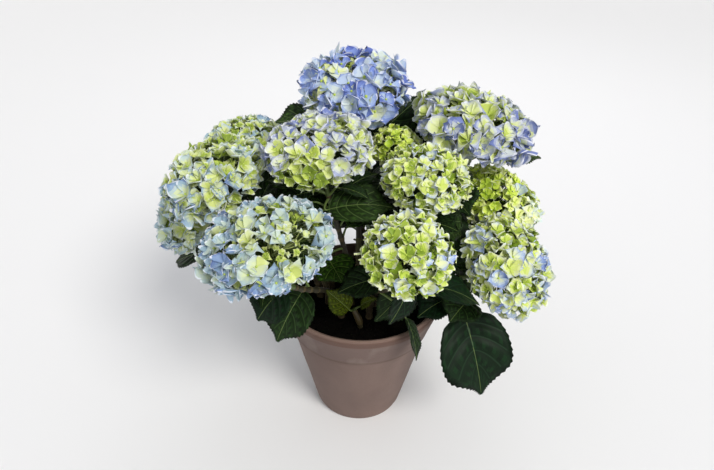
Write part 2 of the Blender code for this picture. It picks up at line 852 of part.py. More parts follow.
def make_bloom(cane, head, materials):
    """A flower head: a core on the cane's neck, with florets standing out all over it."""
    finish = materials[HEAD_FINISH.get(cane.name, "lime")]
    core = ellipsoid_shape(resized(head, CORE_SCALE), CORE_AROUND, CORE_LEVELS)
    obj = mesh_object(f"bloom_{cane.name}", core, finish)
    pieces = new_collection(f"florets_{cane.name}")
    neck = cane.tube(cane.neck + GAP, cane.length, NECK_STEPS)
    mesh_object("neck", neck, materials["cane"], pieces)
    rng = random.Random(f"{SEED} florets {cane.name}")
    pitch = min(FLORET_PITCH, FLORET_PITCH_SHARE * head.radius)
    count = round(cap_area(head) / pitch**2)
    for i in range(count):
        level = 1 - (1 - HEAD_COVER) * (i + 0.5) / count
        shape = floret_shape(head, pitch, level, i * GOLDEN_ANGLE, rng)
        mesh_object(f"floret_{i}", shape, finish, pieces)
    fuse(obj, pieces, "EXACT")


def main():
    clear_scene()
    materials = make_materials()
    turned_object("pot", pot_profile(), materials["clay"])
    turned_object("soil", soil_profile(), materials["soil"])
    plan = Plan()
    for name, cane in plan.canes.items():
        make_shoot(cane, plan.leaves[name], materials)
    for name, head in HEADS.items():
        make_cane(plan.canes[name], materials)
        make_bloom(plan.canes[name], head, materials)


main()
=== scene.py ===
"""The looks of the potted mophead hydrangea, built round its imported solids.

Metres, +Z up; the origin is the middle of the pot's underside and the front faces -Y.
The canes and leaves follow the same seeded plan as the solids, and each solid is replaced
by finer growth in the same place: barked canes, veined and toothed leaves, and heads of
four-sepalled florets on their stalks. Colours that have a place are plain colours, dealt
out by sepal row or by leaf.
"""

import math
import random
from typing import NamedTuple

import bmesh
import bpy
import numpy as np
from mathutils import Euler, Matrix, Vector
from mathutils.bvhtree import BVHTree


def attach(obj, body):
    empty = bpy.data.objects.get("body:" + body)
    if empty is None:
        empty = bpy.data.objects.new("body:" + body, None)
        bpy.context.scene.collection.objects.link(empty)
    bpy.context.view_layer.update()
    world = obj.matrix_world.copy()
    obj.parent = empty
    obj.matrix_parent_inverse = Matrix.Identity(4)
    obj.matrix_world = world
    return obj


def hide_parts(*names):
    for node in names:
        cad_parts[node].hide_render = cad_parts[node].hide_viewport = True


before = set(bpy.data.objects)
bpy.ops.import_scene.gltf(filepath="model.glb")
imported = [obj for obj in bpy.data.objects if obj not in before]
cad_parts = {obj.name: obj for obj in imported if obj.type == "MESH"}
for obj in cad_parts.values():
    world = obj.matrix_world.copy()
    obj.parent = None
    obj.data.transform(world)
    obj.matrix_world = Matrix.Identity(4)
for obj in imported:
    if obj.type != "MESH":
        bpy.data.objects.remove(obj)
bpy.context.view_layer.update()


# ---- Sizes that the solids share: pot, soil and canes ----
# The space between solids that stand close.
GAP = 0.0003
SEED = 11
POT_HEIGHT = 0.210
RIM_RADIUS = 0.120
RIM_WALL = 0.009
LIP_HEIGHT = 0.010
BAND_HEIGHT = 0.055
BAND_FOOT_RADIUS = 0.1046
BODY_TOP_RADIUS = 0.1016
BASE_RADIUS = 0.0655
BODY_WALL = 0.008
FLOOR_THICKNESS = 0.012
LIP_STEP = 0.0012
LIP_FALL = 0.001
BAND_BEVEL = 0.005
BAND_STEP = 0.003
SHOULDER_DROP = 0.006
FOOT_BEVEL = 0.006
FOOT_FLARE = 0.0028
BEAD_STEPS = 4
SOIL_TOP = 0.188
TURN_STEPS = 36
FOOT_SPREAD = 0.25
LOWER_HANDLE = 0.40
UPPER_HANDLE = 0.38
CANE_FOOT_RADIUS = 0.0044
CANE_TIP_RADIUS = 0.0027
CANE_SIDES = 5
LEAFY_FROM = 0.36
SPROUT_FOOT = (0.000, -0.062)
SPROUT_RISE = (-0.010, 0.006, 0.028)
SPROUT_BEND = 0.7
NECK = 0.024
CURVE_STEPS = 60
# A head's core, and how far down florets go: its level, from 1 at its top to -1.
CORE_SCALE = 0.85
HEAD_COVER = -0.58
SEPALS = 4
GOLDEN_ANGLE = math.pi * (3 - math.sqrt(5))
# A direction is steep, and needs another helper to find its side axes, beyond this.
STEEP = 0.9


# ---- Leaves, and the rule that pairs grow by ----
LEAF_HALF_THICKNESS = 0.007
# A solid leaf's sections: the part of its length, and the share of its full width.
LEAF_STATIONS = ((0.11, 0.62), (0.42, 1.0), (0.76, 0.60))
LEAF_TROUGH = 0.16
PETIOLE_RADIUS = 0.0017
PETIOLE_FLARE = 1.2
PETIOLE_THINNING = 0.3
STALK_STEPS = 2
STALK_LOWER_HANDLE = 0.45
STALK_UPPER_HANDLE = 0.30
STALK_CLIMB = 0.8
LEAF_TRIES = 40
PAIR_STATIONS = (0.34, 0.48, 0.62, 0.76, 0.89)
STATION_SCATTER = 0.04
LAST_STATION = 0.91
HEADING_SCATTER = 0.6
SHORTEST_LEAF = 0.080
LONGEST_LEAF = 0.130
SIZE_RANGE = (0.72, 1.0)
SIZE_LOSS = 0.07
CLIMB_RANGE = (-0.55, 0.45)
CLIMB_GAIN = 0.08
STALK_RANGE = (0.018, 0.034)
ROLL_SCATTER = 0.4
WIDTH_RANGE = (0.60, 0.72)
ARCH_RANGE = (0.06, 0.13)
# The second round, which only the looks have: smaller leaves in the room that is left.
FINE_STATIONS = (0.30, 0.50, 0.70, 0.90)
FINE_SHARES = (0.45, 0.78)


# ---- The room that leaves keep ----
PROBE_PARTS = (0.0, 0.25, 0.5, 0.75, 1.0)
LEAF_CLEARANCE = 0.0022
HEAD_MARGIN = 0.008
# Steps of the canes and heads that leaves are tested against.
TEST_STEPS = 16
TEST_AROUND = 16
TEST_LEVELS = 10
REAR_HALF = 0.052
LOWEST_FRONT_LEAF = 0.282
LOWEST_BACK_LEAF = 0.165
FOREMOST_LEAF = -0.180
# Spaces that stay open, by their lowest and highest corners: over the soil, under a head in
# front of the canes, and over a head.
OPEN_SPACES = (
    ((-0.066, -0.200, 0.200), (0.030, -0.030, 0.365)),
    ((-0.066, -0.200, 0.365), (0.040, -0.060, 0.400)),
    ((0.130, -0.060, 0.340), (0.270, 0.060, 0.420)),
)


class Head(NamedTuple):
    """A flower head: its middle, half width, half height and the way it leans."""

    centre: tuple
    radius: float
    half_height: float
    lean: tuple


HEADS = {
    "top": Head((-0.013, 0.082, 0.485), 0.070, 0.041, (-0.05, -0.05, 1.0)),
    "upper_right": Head((0.150, 0.064, 0.444), 0.080, 0.038, (0.22, 0.00, 1.0)),
    "centre_left": Head((-0.054, -0.045, 0.456), 0.066, 0.034, (-0.12, -0.08, 1.0)),
    "back_left": Head((-0.177, 0.115, 0.384), 0.060, 0.038, (-0.30, 0.25, 1.0)),
    "left": Head((-0.189, -0.035, 0.412), 0.069, 0.038, (-0.45, -0.05, 0.9)),
    "left_low": Head((-0.240, 0.025, 0.318), 0.058, 0.038, (-0.80, 0.00, 0.6)),
    "lower_left": Head((-0.108, -0.160, 0.393), 0.076, 0.038, (-0.20, 0.00, 1.0)),
    "small_green": Head((0.046, 0.050, 0.414), 0.036, 0.028, (0.20, 0.10, 1.0)),
    "right_centre": Head((0.078, -0.055, 0.423), 0.055, 0.036, (0.10, -0.10, 1.0)),
    "right_upper": Head((0.195, 0.054, 0.329), 0.065, 0.044, (0.50, 0.00, 0.9)),
    "right_lower": Head((0.184, -0.092, 0.322), 0.067, 0.044, (0.65, -0.30, 0.6)),
    "front": Head((0.051, -0.165, 0.388), 0.052, 0.040, (0.10, -0.20, 0.9)),
    "back_centre": Head((0.008, 0.205, 0.302), 0.062, 0.040, (0.10, 0.60, 0.9)),
    "back_right": Head((0.128, 0.170, 0.302), 0.060, 0.040, (0.50, 0.60, 0.8)),
    "back_low_left": Head((-0.132, 0.185, 0.286), 0.058, 0.038, (-0.50, 0.60, 0.8)),
}


# The ways that a leaf's upper side may face.
UP = (0.0, -0.35, 0.95)
FRONT = (0.0, -0.60, 0.80)
FRONT_HIGH = (0.20, -0.80, 0.45)
FRONT_LEFT = (-0.20, -0.50, 0.75)
FRONT_RIGHT = (0.60, -0.60, 0.50)
SIDEWAYS = (0.85, -0.30, 0.40)
# Leaves with a place of their own, by the cane, where on it the stalk leaves, the blade's
# width, its arch and the way that its upper side faces, and its root and its tip.
POSED_LEAVES = {
    "hanging_right": ("right_lower", 0.45, 0.102, 0.08, FRONT_HIGH,
        (0.140, -0.070, 0.230), (0.172, -0.120, 0.116)),
    "behind_hanging": ("right_lower", 0.70, 0.055, 0.10, UP,
        (0.145, -0.080, 0.255), (0.115, -0.120, 0.250)),
    "right_low": ("right_lower", 0.30, 0.045, 0.10, UP,
        (0.120, -0.070, 0.250), (0.075, -0.100, 0.240)),
    "over_rim": ("front", 0.20, 0.030, 0.06, SIDEWAYS,
        (0.060, -0.100, 0.240), (0.075, -0.135, 0.195)),
    "front_fold": ("front", 0.75, 0.035, 0.06, FRONT_RIGHT,
        (0.060, -0.130, 0.325), (0.035, -0.150, 0.270)),
    "front_left": ("front", 0.55, 0.045, 0.10, UP,
        (0.030, -0.100, 0.305), (-0.030, -0.120, 0.295)),
    "centre_low": ("centre_left", 0.20, 0.055, 0.08, FRONT,
        (-0.045, -0.040, 0.290), (-0.025, -0.080, 0.280)),
    "big_centre": ("centre_left", 0.85, 0.060, 0.10, UP,
        (-0.045, -0.060, 0.380), (0.040, -0.060, 0.385)),
    "under_centre_left": ("centre_left", 0.90, 0.040, 0.08, UP,
        (-0.065, -0.040, 0.395), (-0.120, -0.050, 0.375)),
    "top_left": ("top", 0.90, 0.060, 0.08, UP,
        (-0.055, 0.080, 0.430), (-0.120, 0.060, 0.445)),
    "top_right": ("top", 0.80, 0.065, 0.05, FRONT,
        (0.015, 0.110, 0.395), (0.085, 0.140, 0.455)),
    "behind_small": ("upper_right", 0.90, 0.050, 0.06, FRONT,
        (0.093, 0.086, 0.377), (0.072, 0.146, 0.433)),
    "right_tip": ("upper_right", 0.90, 0.040, 0.06, UP,
        (0.170, 0.080, 0.388), (0.260, 0.095, 0.380)),
    "lower_left_upper": ("lower_left", 0.60, 0.060, 0.08, FRONT_LEFT,
        (-0.095, -0.120, 0.305), (-0.130, -0.140, 0.265)),
    "lower_left_under": ("lower_left", 0.30, 0.070, 0.08, FRONT_LEFT,
        (-0.075, -0.080, 0.270), (-0.110, -0.125, 0.215)),
    "left_corner": ("left_low", 0.90, 0.045, 0.05, UP,
        (-0.225, 0.030, 0.250), (-0.285, 0.050, 0.215)),
    "left_inner": ("left", 0.40, 0.040, 0.06, UP,
        (-0.055, -0.010, 0.330), (-0.095, -0.030, 0.320)),
    "middle": ("right_centre", 0.70, 0.040, 0.06, UP,
        (0.035, -0.030, 0.345), (-0.005, 0.000, 0.340)),
    "right_middle": ("right_centre", 0.90, 0.045, 0.08, UP,
        (0.095, -0.050, 0.370), (0.130, -0.050, 0.335)),
    "right_behind": ("right_upper", 0.70, 0.054, 0.06, UP,
        (0.141, 0.054, 0.269), (0.188, 0.124, 0.275)),
    "front_low": ("right_lower", 0.60, 0.051, 0.06, FRONT_HIGH,
        (0.075, -0.051, 0.269), (0.019, -0.095, 0.227)),
    "left_behind": ("left", 0.90, 0.058, 0.06, UP,
        (-0.128, -0.015, 0.343), (-0.125, 0.048, 0.401)),
    "sprout_broad": ("sprout", 0.90, 0.035, 0.03, FRONT_LEFT,
        (-0.015, -0.075, 0.230), (-0.045, -0.090, 0.275)),
    "sprout_small": ("sprout", 0.90, 0.015, 0.06, FRONT,
        (0.000, -0.055, 0.220), (0.020, -0.080, 0.255)),
}


# ---- The plan of the canes and leaves, as the solids follow it ----


def bezier(a, b, c, d, t):
    s = 1 - t
    return a * s**3 + b * 3 * s * s * t + c * 3 * s * t * t + d * t**3


def bezier_slope(a, b, c, d, t):
    s = 1 - t
    return ((b - a) * s * s + (c - b) * 2 * s * t + (d - c) * t * t).normalized()


class Cane:
    """One smooth curve from the soil upwards, read by distance along it."""

    def __init__(self, corners, leafy_from, neck_below):
        steps = [i / CURVE_STEPS for i in range(CURVE_STEPS + 1)]
        self.points = [bezier(*corners, t) for t in steps]
        self.slopes = [bezier_slope(*corners, t) for t in steps]
        self.reach = [0.0]
        for before, after in zip(self.points, self.points[1:]):
            self.reach.append(self.reach[-1] + (after - before).length)
        self.length = self.reach[-1]
        self.neck = self.length - neck_below
        self.fork = leafy_from * self.neck

    def at(self, distance):
        """The point and the direction at this distance along the curve."""
        i = 0
        while i < CURVE_STEPS - 1 and self.reach[i + 1] < distance:
            i += 1
        part = (distance - self.reach[i]) / (self.reach[i + 1] - self.reach[i])
        point = self.points[i].lerp(self.points[i + 1], part)
        return point, self.slopes[i].lerp(self.slopes[i + 1], part).normalized()

    def radius(self, distance):
        """The cane thins evenly from its foot to its end."""
        part = distance / self.length
        return CANE_FOOT_RADIUS + (CANE_TIP_RADIUS - CANE_FOOT_RADIUS) * part

    def tube(self, steps, extra):
        """A tube all along the cane and wider than it, for tests."""
        rings = []
        first, _ = side_axes(self.slopes[0])
        for i in range(steps + 1):
            stop = self.length * i / steps
            point, along = self.at(stop)
            first = (first - along * first.dot(along)).normalized()
            radius = self.radius(stop) + extra
            rings.append(ring(point, first, along.cross(first), radius, CANE_SIDES))
        return skin(rings)


def flowering_cane(head):
    """A cane that rises from the soil and turns into the head along the head's lean."""
    axis = Vector(head.lean).normalized()
    centre = Vector(head.centre)
    foot = Vector((FOOT_SPREAD * centre.x, FOOT_SPREAD * centre.y, SOIL_TOP + GAP))
    end = centre - 0.5 * head.half_height * axis
    span = (end - foot).length
    lower = foot + Vector((0, 0, LOWER_HANDLE * span))
    upper = end - UPPER_HANDLE * span * axis
    neck_below = NECK + (CORE_SCALE - 0.5) * head.half_height
    return Cane((foot, lower, upper, end), LEAFY_FROM, neck_below)


def young_cane():
    """A short leafy sprout with no flower, near the front of the pot."""
    foot = Vector((*SPROUT_FOOT, SOIL_TOP + GAP))
    top = foot + Vector(SPROUT_RISE)
    lower = foot + Vector((0, 0, 0.5 * SPROUT_RISE[2]))
    return Cane((foot, lower, foot.lerp(top, SPROUT_BEND), top), 0.0, 0.0)


def side_axes(direction):
    """Two unit vectors square to a direction and to each other."""
    helper = Vector((0, 1, 0)) if abs(direction.y) < STEEP else Vector((1, 0, 0))
    first = direction.cross(helper).normalized()
    return first, direction.cross(first).normalized()


def ring(middle, first, second, radius, sides):
    """Points round a middle, in the plane of two unit vectors."""
    angles = [2 * math.pi * k / sides for k in range(sides)]
    return [middle + (first * math.cos(a) + second * math.sin(a)) * radius for a in angles]


def skin(rings, root=None, tip=None):
    """A closed skin over rings of corners, with each end flat, or pointed if it has a point."""
    size = len(rings[0])
    verts = [corner for corners in rings for corner in corners]
    last = len(verts) - size
    faces = []
    for i in range(0, last, size):
        for k in range(size):
            a, b = i + k, i + (k + 1) % size
            faces.append((a, b, b + size, a + size))
    for start, point in ((0, root), (last, tip)):
        edge = range(start, start + size)
        if point is None:
            faces.append(tuple(edge))
        else:
            faces += [(a, b, len(verts)) for a, b in zip(edge, (*edge[1:], start))]
            verts.append(point)
    return verts, faces


class Leaf(NamedTuple):
    """A leaf's stalk and blade, as the plan settles them."""

    stalk: tuple
    base: Vector
    tip: Vector
    width: float
    face: Vector
    arch: float


def blade_frame(leaf, part):
    """The midrib's point, and the blade's side and upward directions, at a part of it."""
    along = leaf.tip - leaf.base
    length = along.length
    along = along / length
    up = (leaf.face - along * leaf.face.dot(along)).normalized()
    side = up.cross(along)
    bend = leaf.arch * length
    point = leaf.base.lerp(leaf.tip, part) + up * (4 * bend * part * (1 - part))
    slope = 4 * leaf.arch * (1 - 2 * part)
    tilted_up = (up - along * slope).normalized()
    return point, side, tilted_up


def section(middle, side, up, half_width, half_height, lift=0.0):
    """A four-cornered cross-section, with its side corners raised by the lift."""
    raised = up * lift
    return [
        middle + side * half_width + raised,
        middle + up * half_height,
        middle - side * half_width + raised,
        middle - up * half_height,
    ]


def stalk_corners(leaf):
    """The curve of a stalk, which leaves its cane and swings round to the blade's root."""
    start, direction = leaf.stalk
    reach = (leaf.base - start).length
    along = (leaf.tip - leaf.base).normalized()
    lower = start + direction * STALK_LOWER_HANDLE * reach
    return start, lower, leaf.base - along * STALK_UPPER_HANDLE * reach, leaf.base


def stalk_shape(leaf, extra=0.0):
    """The stalk alone, without a twist; extra makes it thicker for tests."""
    count = STALK_STEPS
    points = [bezier(*stalk_corners(leaf), i / count) for i in range(count + 1)]
    _, side, up = blade_frame(leaf, 0.0)
    sections = []
    for i in range(count, -1, -1):
        tangent = (points[min(i + 1, count)] - points[max(i - 1, 0)]).normalized()
        side = (side - tangent * side.dot(tangent)).normalized()
        up = tangent.cross(side)
        radius = PETIOLE_RADIUS * (PETIOLE_FLARE - PETIOLE_THINNING * i / count) + extra
        sections.append(section(points[i], side, up, radius, radius))
    return skin(sections[::-1])


def blade_shape(leaf, extra=0.0):
    """The blade alone; extra makes it thicker and wider for tests."""
    along = leaf.tip - leaf.base
    thick = LEAF_HALF_THICKNESS * along.length + extra
    root = PETIOLE_RADIUS + extra
    sections = [section(*blade_frame(leaf, 0.0), root, root)]
    for part, fullness in LEAF_STATIONS:
        half = 0.5 * leaf.width * fullness + extra
        sections.append(section(*blade_frame(leaf, part), half, thick, LEAF_TROUGH * half))
    return skin(sections, tip=leaf.tip + along.normalized() * extra)


def widened(head):
    """The same head with the room that leaves keep round it."""
    half_height = head.half_height + HEAD_MARGIN
    return head._replace(radius=head.radius + HEAD_MARGIN, half_height=half_height)


def ellipsoid_shape(head):
    """The head's ellipsoid, as rings between two poles."""
    axis = Vector(head.lean).normalized()
    axes = side_axes(axis)
    centre = Vector(head.centre)
    rise = axis * head.half_height
    rings = []
    for j in range(1, TEST_LEVELS):
        angle = math.pi * j / TEST_LEVELS
        middle = centre - rise * math.cos(angle)
        rings.append(ring(middle, *axes, head.radius * math.sin(angle), TEST_AROUND))
    return skin(rings, centre - rise, centre + rise)


def pot_shape():
    """The pot's wall, for the plan's tests."""
    axes = Vector((1, 0, 0)), Vector((0, 1, 0))
    rings = []
    for radius, height in pot_profile()[1:-1]:
        rings.append(ring(Vector((0, 0, height)), *axes, radius, TURN_STEPS))
    return skin(rings)


def tree_of(shape):
    return BVHTree.FromPolygons(*shape)


def inside_head(head, point):
    axis = Vector(head.lean).normalized()
    offset = point - Vector(head.centre)
    height = offset.dot(axis)
    flat = (offset - axis * height).length
    return (flat / head.radius) ** 2 + (height / head.half_height) ** 2 < 1


def in_open_space(leaf):
    """Whether a leaf reaches into an open space, or further forward than it may."""
    for part in PROBE_PARTS:
        point = blade_frame(leaf, part)[0]
        if point.y < FOREMOST_LEAF:
            return True
        for low, high in OPEN_SPACES:
            if all(a < at < b for a, at, b in zip(low, point, high)):
                return True
    return False


class Plan:
    """Where every cane and leaf goes, with each leaf clear of all that stands near it."""

    def __init__(self):
        self.canes = {name: flowering_cane(head) for name, head in HEADS.items()}
        self.canes["sprout"] = young_cane()
        self.leaves = {name: [] for name in self.canes}
        self.pot = tree_of(pot_shape())
        self.cane_trees = {}
        for name, cane in self.canes.items():
            self.cane_trees[name] = tree_of(cane.tube(TEST_STEPS, LEAF_CLEARANCE))
        self.wide_heads = [widened(head) for head in HEADS.values()]
        self.head_trees = [tree_of(ellipsoid_shape(head)) for head in self.wide_heads]
        self.taken = []
        for row in POSED_LEAVES.values():
            self.pose(*row)
        for name in HEADS:
            self.grow(name)
        for name in HEADS:
            self.grow(name, FINE_STATIONS, FINE_SHARES)

    def free(self, name, leaf, lowest):
        """Whether a leaf touches nothing but its own cane and the stalks on it."""
        probes = [blade_frame(leaf, part)[0] for part in PROBE_PARTS]
        if min(point.z for point in probes) < lowest:
            return False
        for point in probes:
            if any(inside_head(head, point) for head in self.wide_heads):
                return False
        blade = tree_of(blade_shape(leaf, LEAF_CLEARANCE))
        stalk = tree_of(stalk_shape(leaf, LEAF_CLEARANCE))
        solids = [self.pot, *self.head_trees]
        solids += [tree for owner, tree in self.cane_trees.items() if owner != name]
        if any(blade.overlap(tree) or stalk.overlap(tree) for tree in solids):
            return False
        if blade.overlap(self.cane_trees[name]):
            return False
        for owner, taken_blade, taken_stalk in self.taken:
            if blade.overlap(taken_blade) or blade.overlap(taken_stalk):
                return False
            if stalk.overlap(taken_blade) or (owner != name and stalk.overlap(taken_stalk)):
                return False
        return True

    def accept(self, name, leaf):
        self.leaves[name].append(leaf)
        self.taken.append((name, tree_of(blade_shape(leaf)), tree_of(stalk_shape(leaf))))

    def stalk_from(self, cane, station, towards):
        """Where a stalk leaves the leafy stretch, and the direction that it sets off in."""
        start, along = cane.at(cane.fork + station * (cane.neck - cane.fork))
        outward = towards - start
        outward = (outward - along * outward.dot(along)).normalized()
        return start, (outward + STALK_CLIMB * along).normalized()

    def pose(self, name, station, width, arch, face, base, tip):
        """A leaf with a place of its own, if it is free there."""
        base = Vector(base)
        stalk = self.stalk_from(self.canes[name], station, base)
        leaf = Leaf(stalk, base, Vector(tip), width, Vector(face).normalized(), arch)
        if self.free(name, leaf, 0.0):
            self.accept(name, leaf)

    def grow(self, name, stations=PAIR_STATIONS, finer=None):
        """Opposite pairs up the shoot, each pair a quarter turn from the last.

        finer gives the range of sizes, as shares of a whole leaf, for the second round.
        """
        cane = self.canes[name]
        behind = HEADS[name].centre[1] > REAR_HALF
        lowest = LOWEST_BACK_LEAF if behind else LOWEST_FRONT_LEAF
        rng = random.Random(f"{SEED} {name}" if finer is None else f"{SEED} finer {name}")
        turn = rng.uniform(0, math.pi)
        for rank, station in enumerate(stations):
            for half in range(2):
                heading = turn + math.pi / 2 * rank + math.pi * half
                for _ in range(LEAF_TRIES):
                    leaf = self.candidate(cane, station, rank, heading, rng)
                    if finer is not None:
                        share = rng.uniform(*finer)
                        tip = leaf.base.lerp(leaf.tip, share)
                        leaf = leaf._replace(tip=tip, width=share * leaf.width)
                    if not in_open_space(leaf) and self.free(name, leaf, lowest):
                        self.accept(name, leaf)
                        break

    def candidate(self, cane, station, rank, heading, rng):
        """One leaf by rule: outwards from the cane, its blade arching over and down."""
        station += rng.uniform(-STATION_SCATTER, STATION_SCATTER)
        station = min(station, LAST_STATION)
        start, along = cane.at(cane.fork + station * (cane.neck - cane.fork))
        first, second = side_axes(along)
        heading += rng.uniform(-HEADING_SCATTER, HEADING_SCATTER)
        outward = first * math.cos(heading) + second * math.sin(heading)
        size = rng.uniform(*SIZE_RANGE) * (1 - SIZE_LOSS * rank)
        length = max(SHORTEST_LEAF, LONGEST_LEAF * size)
        climb = rng.uniform(*CLIMB_RANGE) + CLIMB_GAIN * rank
        direction = (outward + Vector((0, 0, climb))).normalized()
        set_off = (outward + STALK_CLIMB * along).normalized()
        base = start + set_off * rng.uniform(*STALK_RANGE)
        tip = base + direction * length
        up = (Vector((0, 0, 1)) - direction * direction.z).normalized()
        roll = rng.uniform(-ROLL_SCATTER, ROLL_SCATTER)
        face = (up + direction.cross(up) * roll).normalized()
        width = length * rng.uniform(*WIDTH_RANGE)
        return Leaf((start, set_off), base, tip, width, face, rng.uniform(*ARCH_RANGE))


def pot_profile():
    """Radius and height from the middle of the pot's floor, over the rim, to the base."""
    inner = RIM_RADIUS - RIM_WALL
    band_foot = POT_HEIGHT - BAND_HEIGHT
    lip_foot = POT_HEIGHT - LIP_HEIGHT
    bead = 0.5 * RIM_WALL
    profile = [
        (0.0, FLOOR_THICKNESS),
        (BASE_RADIUS - BODY_WALL, FLOOR_THICKNESS),
        (BODY_TOP_RADIUS - BODY_WALL, band_foot - SHOULDER_DROP),
        (inner - LIP_STEP, lip_foot),
    ]
    for i in range(BEAD_STEPS + 1):
        angle = math.pi * i / BEAD_STEPS
        radius = inner + bead - bead * math.cos(angle)
        profile.append((radius, POT_HEIGHT - bead + bead * math.sin(angle)))
    return profile + [
        (RIM_RADIUS - LIP_STEP, lip_foot - LIP_FALL),
        (BAND_FOOT_RADIUS + LIP_STEP, band_foot + BAND_BEVEL),
        (BAND_FOOT_RADIUS, band_foot),
        (BODY_TOP_RADIUS, band_foot - BAND_STEP),
        (BASE_RADIUS + FOOT_FLARE, FOOT_BEVEL),
        (BASE_RADIUS, 0.0),
        (0.0, 0.0),
    ]


def pot_inner_radius(height):
    """The radius of the pot's inner wall at a height between its floor and its band."""
    bottom, top = pot_profile()[1:3]
    if height > top[1]:
        bottom, top = pot_profile()[2:4]
    return bottom[0] + (top[0] - bottom[0]) * (height - bottom[1]) / (top[1] - bottom[1])


def cap_area(head):
    """The area of the part of the head's ellipsoid that carries florets."""
    ratio = head.half_height / head.radius
    hollow = math.sqrt(1 - ratio**2)
    whole = 2 * math.pi * head.radius**2 * (1 + ratio**2 / hollow * math.atanh(hollow))
    return whole * (1 - HEAD_COVER) / 2


# ---- Camera, lights and floor ----
# The photo's frame, and the camera that its pot fits: place, pitch down and roll.
PHOTO_WIDTH = 714
FOCAL_PIXELS = 650
SENSOR_MM = 36.0
CAMERA_PLACE = (-0.0065, -0.7578, 0.8073)
CAMERA_PITCH = math.radians(33.64)
CAMERA_ROLL = math.radians(0.93)
# The floor is round, and sweeps up into a wall like a studio's.
FLOOR_RADIUS = 6.0
SWEEP_RADIUS = 2.5
WALL_HEIGHT = 3.7
SWEEP_STEPS = 24
FLOOR_SIDES = 96
FLOOR_DROP = 0.0004
FLOOR_COLOUR = (238, 238, 239)
FLOOR_ROUGHNESS = 0.9
SKY_COLOUR = (246, 248, 252)
SKY_STRENGTH = 0.545
SUN_STRENGTH = 2.00
SUN_ANGLE = math.radians(24)
SUN_COLOUR = (255, 252, 246)
SUN_TURN = (math.radians(46), 0.0, math.radians(36))
# Lamps: place, target, width, power and colour.
LAMPS = {
    "front": ((0.6, -1.6, 1.2), (0.0, 0.0, 0.30), 1.2, 4.0, (250, 250, 255)),
    "rear": ((0.3, 1.5, 1.5), (0.0, 0.0, 0.40), 1.0, 5.0, (250, 250, 255)),
}


def linear(colour):
    """A colour of 0 to 255 as the screen shows it, in linear light, by the sRGB rule."""
    parts = [part / 255 for part in colour]
    return tuple(p / 12.92 if p <= 0.04045 else ((p + 0.055) / 1.055) ** 2.4 for p in parts)


def link(obj):
    bpy.context.scene.collection.objects.link(obj)
    return obj


def make_camera():
    data = bpy.data.cameras.new("camera")
    data.sensor_width = SENSOR_MM
    data.lens = FOCAL_PIXELS / PHOTO_WIDTH * SENSOR_MM
    camera = link(bpy.data.objects.new("camera", data))
    level = Euler((math.pi / 2 - CAMERA_PITCH, 0, 0)).to_matrix()
    turned = (level @ Matrix.Rotation(CAMERA_ROLL, 3, "Z")).to_4x4()
    camera.matrix_world = Matrix.Translation(CAMERA_PLACE) @ turned
    bpy.context.scene.camera = camera


def make_lamps():
    sun = bpy.data.lights.new("sun", "SUN")
    sun.energy = SUN_STRENGTH
    sun.angle = SUN_ANGLE
    sun.color = linear(SUN_COLOUR)
    link(bpy.data.objects.new("sun", sun)).rotation_euler = SUN_TURN
    for name, (place, target, width, power, colour) in LAMPS.items():
        data = bpy.data.lights.new(name, "AREA")
        data.size = width
        data.energy = power
        data.color = linear(colour)
        lamp = link(bpy.data.objects.new(name, data))
        lamp.location = place
        aim = Vector(target) - Vector(place)
        lamp.rotation_euler = aim.to_track_quat("-Z", "Y").to_euler()


def make_surroundings():
    """A pale round floor that sweeps up into a wall, under a pale sky."""
    world = bpy.data.worlds.new("sky")
    world.use_nodes = True
    shade = world.node_tree.nodes["Background"]
    shade.inputs["Color"].default_value = (*linear(SKY_COLOUR), 1)
    shade.inputs["Strength"].default_value = SKY_STRENGTH
    bpy.context.scene.world = world
    bpy.context.scene.view_settings.view_transform = "Standard"
    steps = np.linspace(0, math.pi / 2, SWEEP_STEPS)
    radii = [0, *(FLOOR_RADIUS + SWEEP_RADIUS * np.sin(steps)), FLOOR_RADIUS + SWEEP_RADIUS]
    heights = np.array([0, *(SWEEP_RADIUS * (1 - np.cos(steps))), WALL_HEIGHT]) - FLOOR_DROP
    gathered = Gathered()
    gathered.add(lathe_grid(list(zip(radii, heights)), FLOOR_SIDES), 0, wrap=True)
    matt = plain_material("floor", linear(FLOOR_COLOUR), FLOOR_ROUGHNESS)
    floor = gathered.mesh_object("floor", [matt])
    close_poles(floor)


# ---- Colours of petals, leaves and stems ----
# The flower colours from young to ripe, as the screen shows them.
RAMPS = {
    "blue": (
        (132, 160, 36), (188, 210, 74), (218, 230, 126), (230, 236, 178), (216, 226, 214),
        (190, 206, 226), (158, 180, 224), (128, 150, 214), (100, 120, 194),
    ),
    "lilac": (
        (136, 160, 44), (186, 204, 82), (212, 224, 132), (222, 230, 172), (216, 222, 200),
        (196, 204, 212), (174, 182, 206), (146, 158, 204), (112, 128, 190),
    ),
    # Painted light: the lime ramp is brighter than the florets' own colour, for heads in the
    # shade of their neighbours.
    "lime": (
        (172, 200, 44), (204, 226, 78), (224, 242, 100), (236, 246, 146), (240, 244, 190),
        (228, 238, 214), (206, 224, 226), (176, 204, 226), (146, 178, 214),
    ),
    "aqua": (
        (130, 154, 40), (182, 202, 80), (210, 220, 132), (214, 224, 170), (200, 214, 196),
        (178, 200, 206), (152, 180, 200), (126, 152, 192), (104, 128, 180),
    ),
}
RAMP_STEPS = 16
# Pale sepal rims: the sepals' paler edge, brightened further as a painted highlight.
RIM_HIGHLIGHT_COLOUR = (240, 242, 250)
RIM_HIGHLIGHT_SHARES = (0.40, 0.80)
PETAL_ROUGHNESS = 0.55
PETAL_SHEEN = 0.15
BEAD_TONE = 0.10
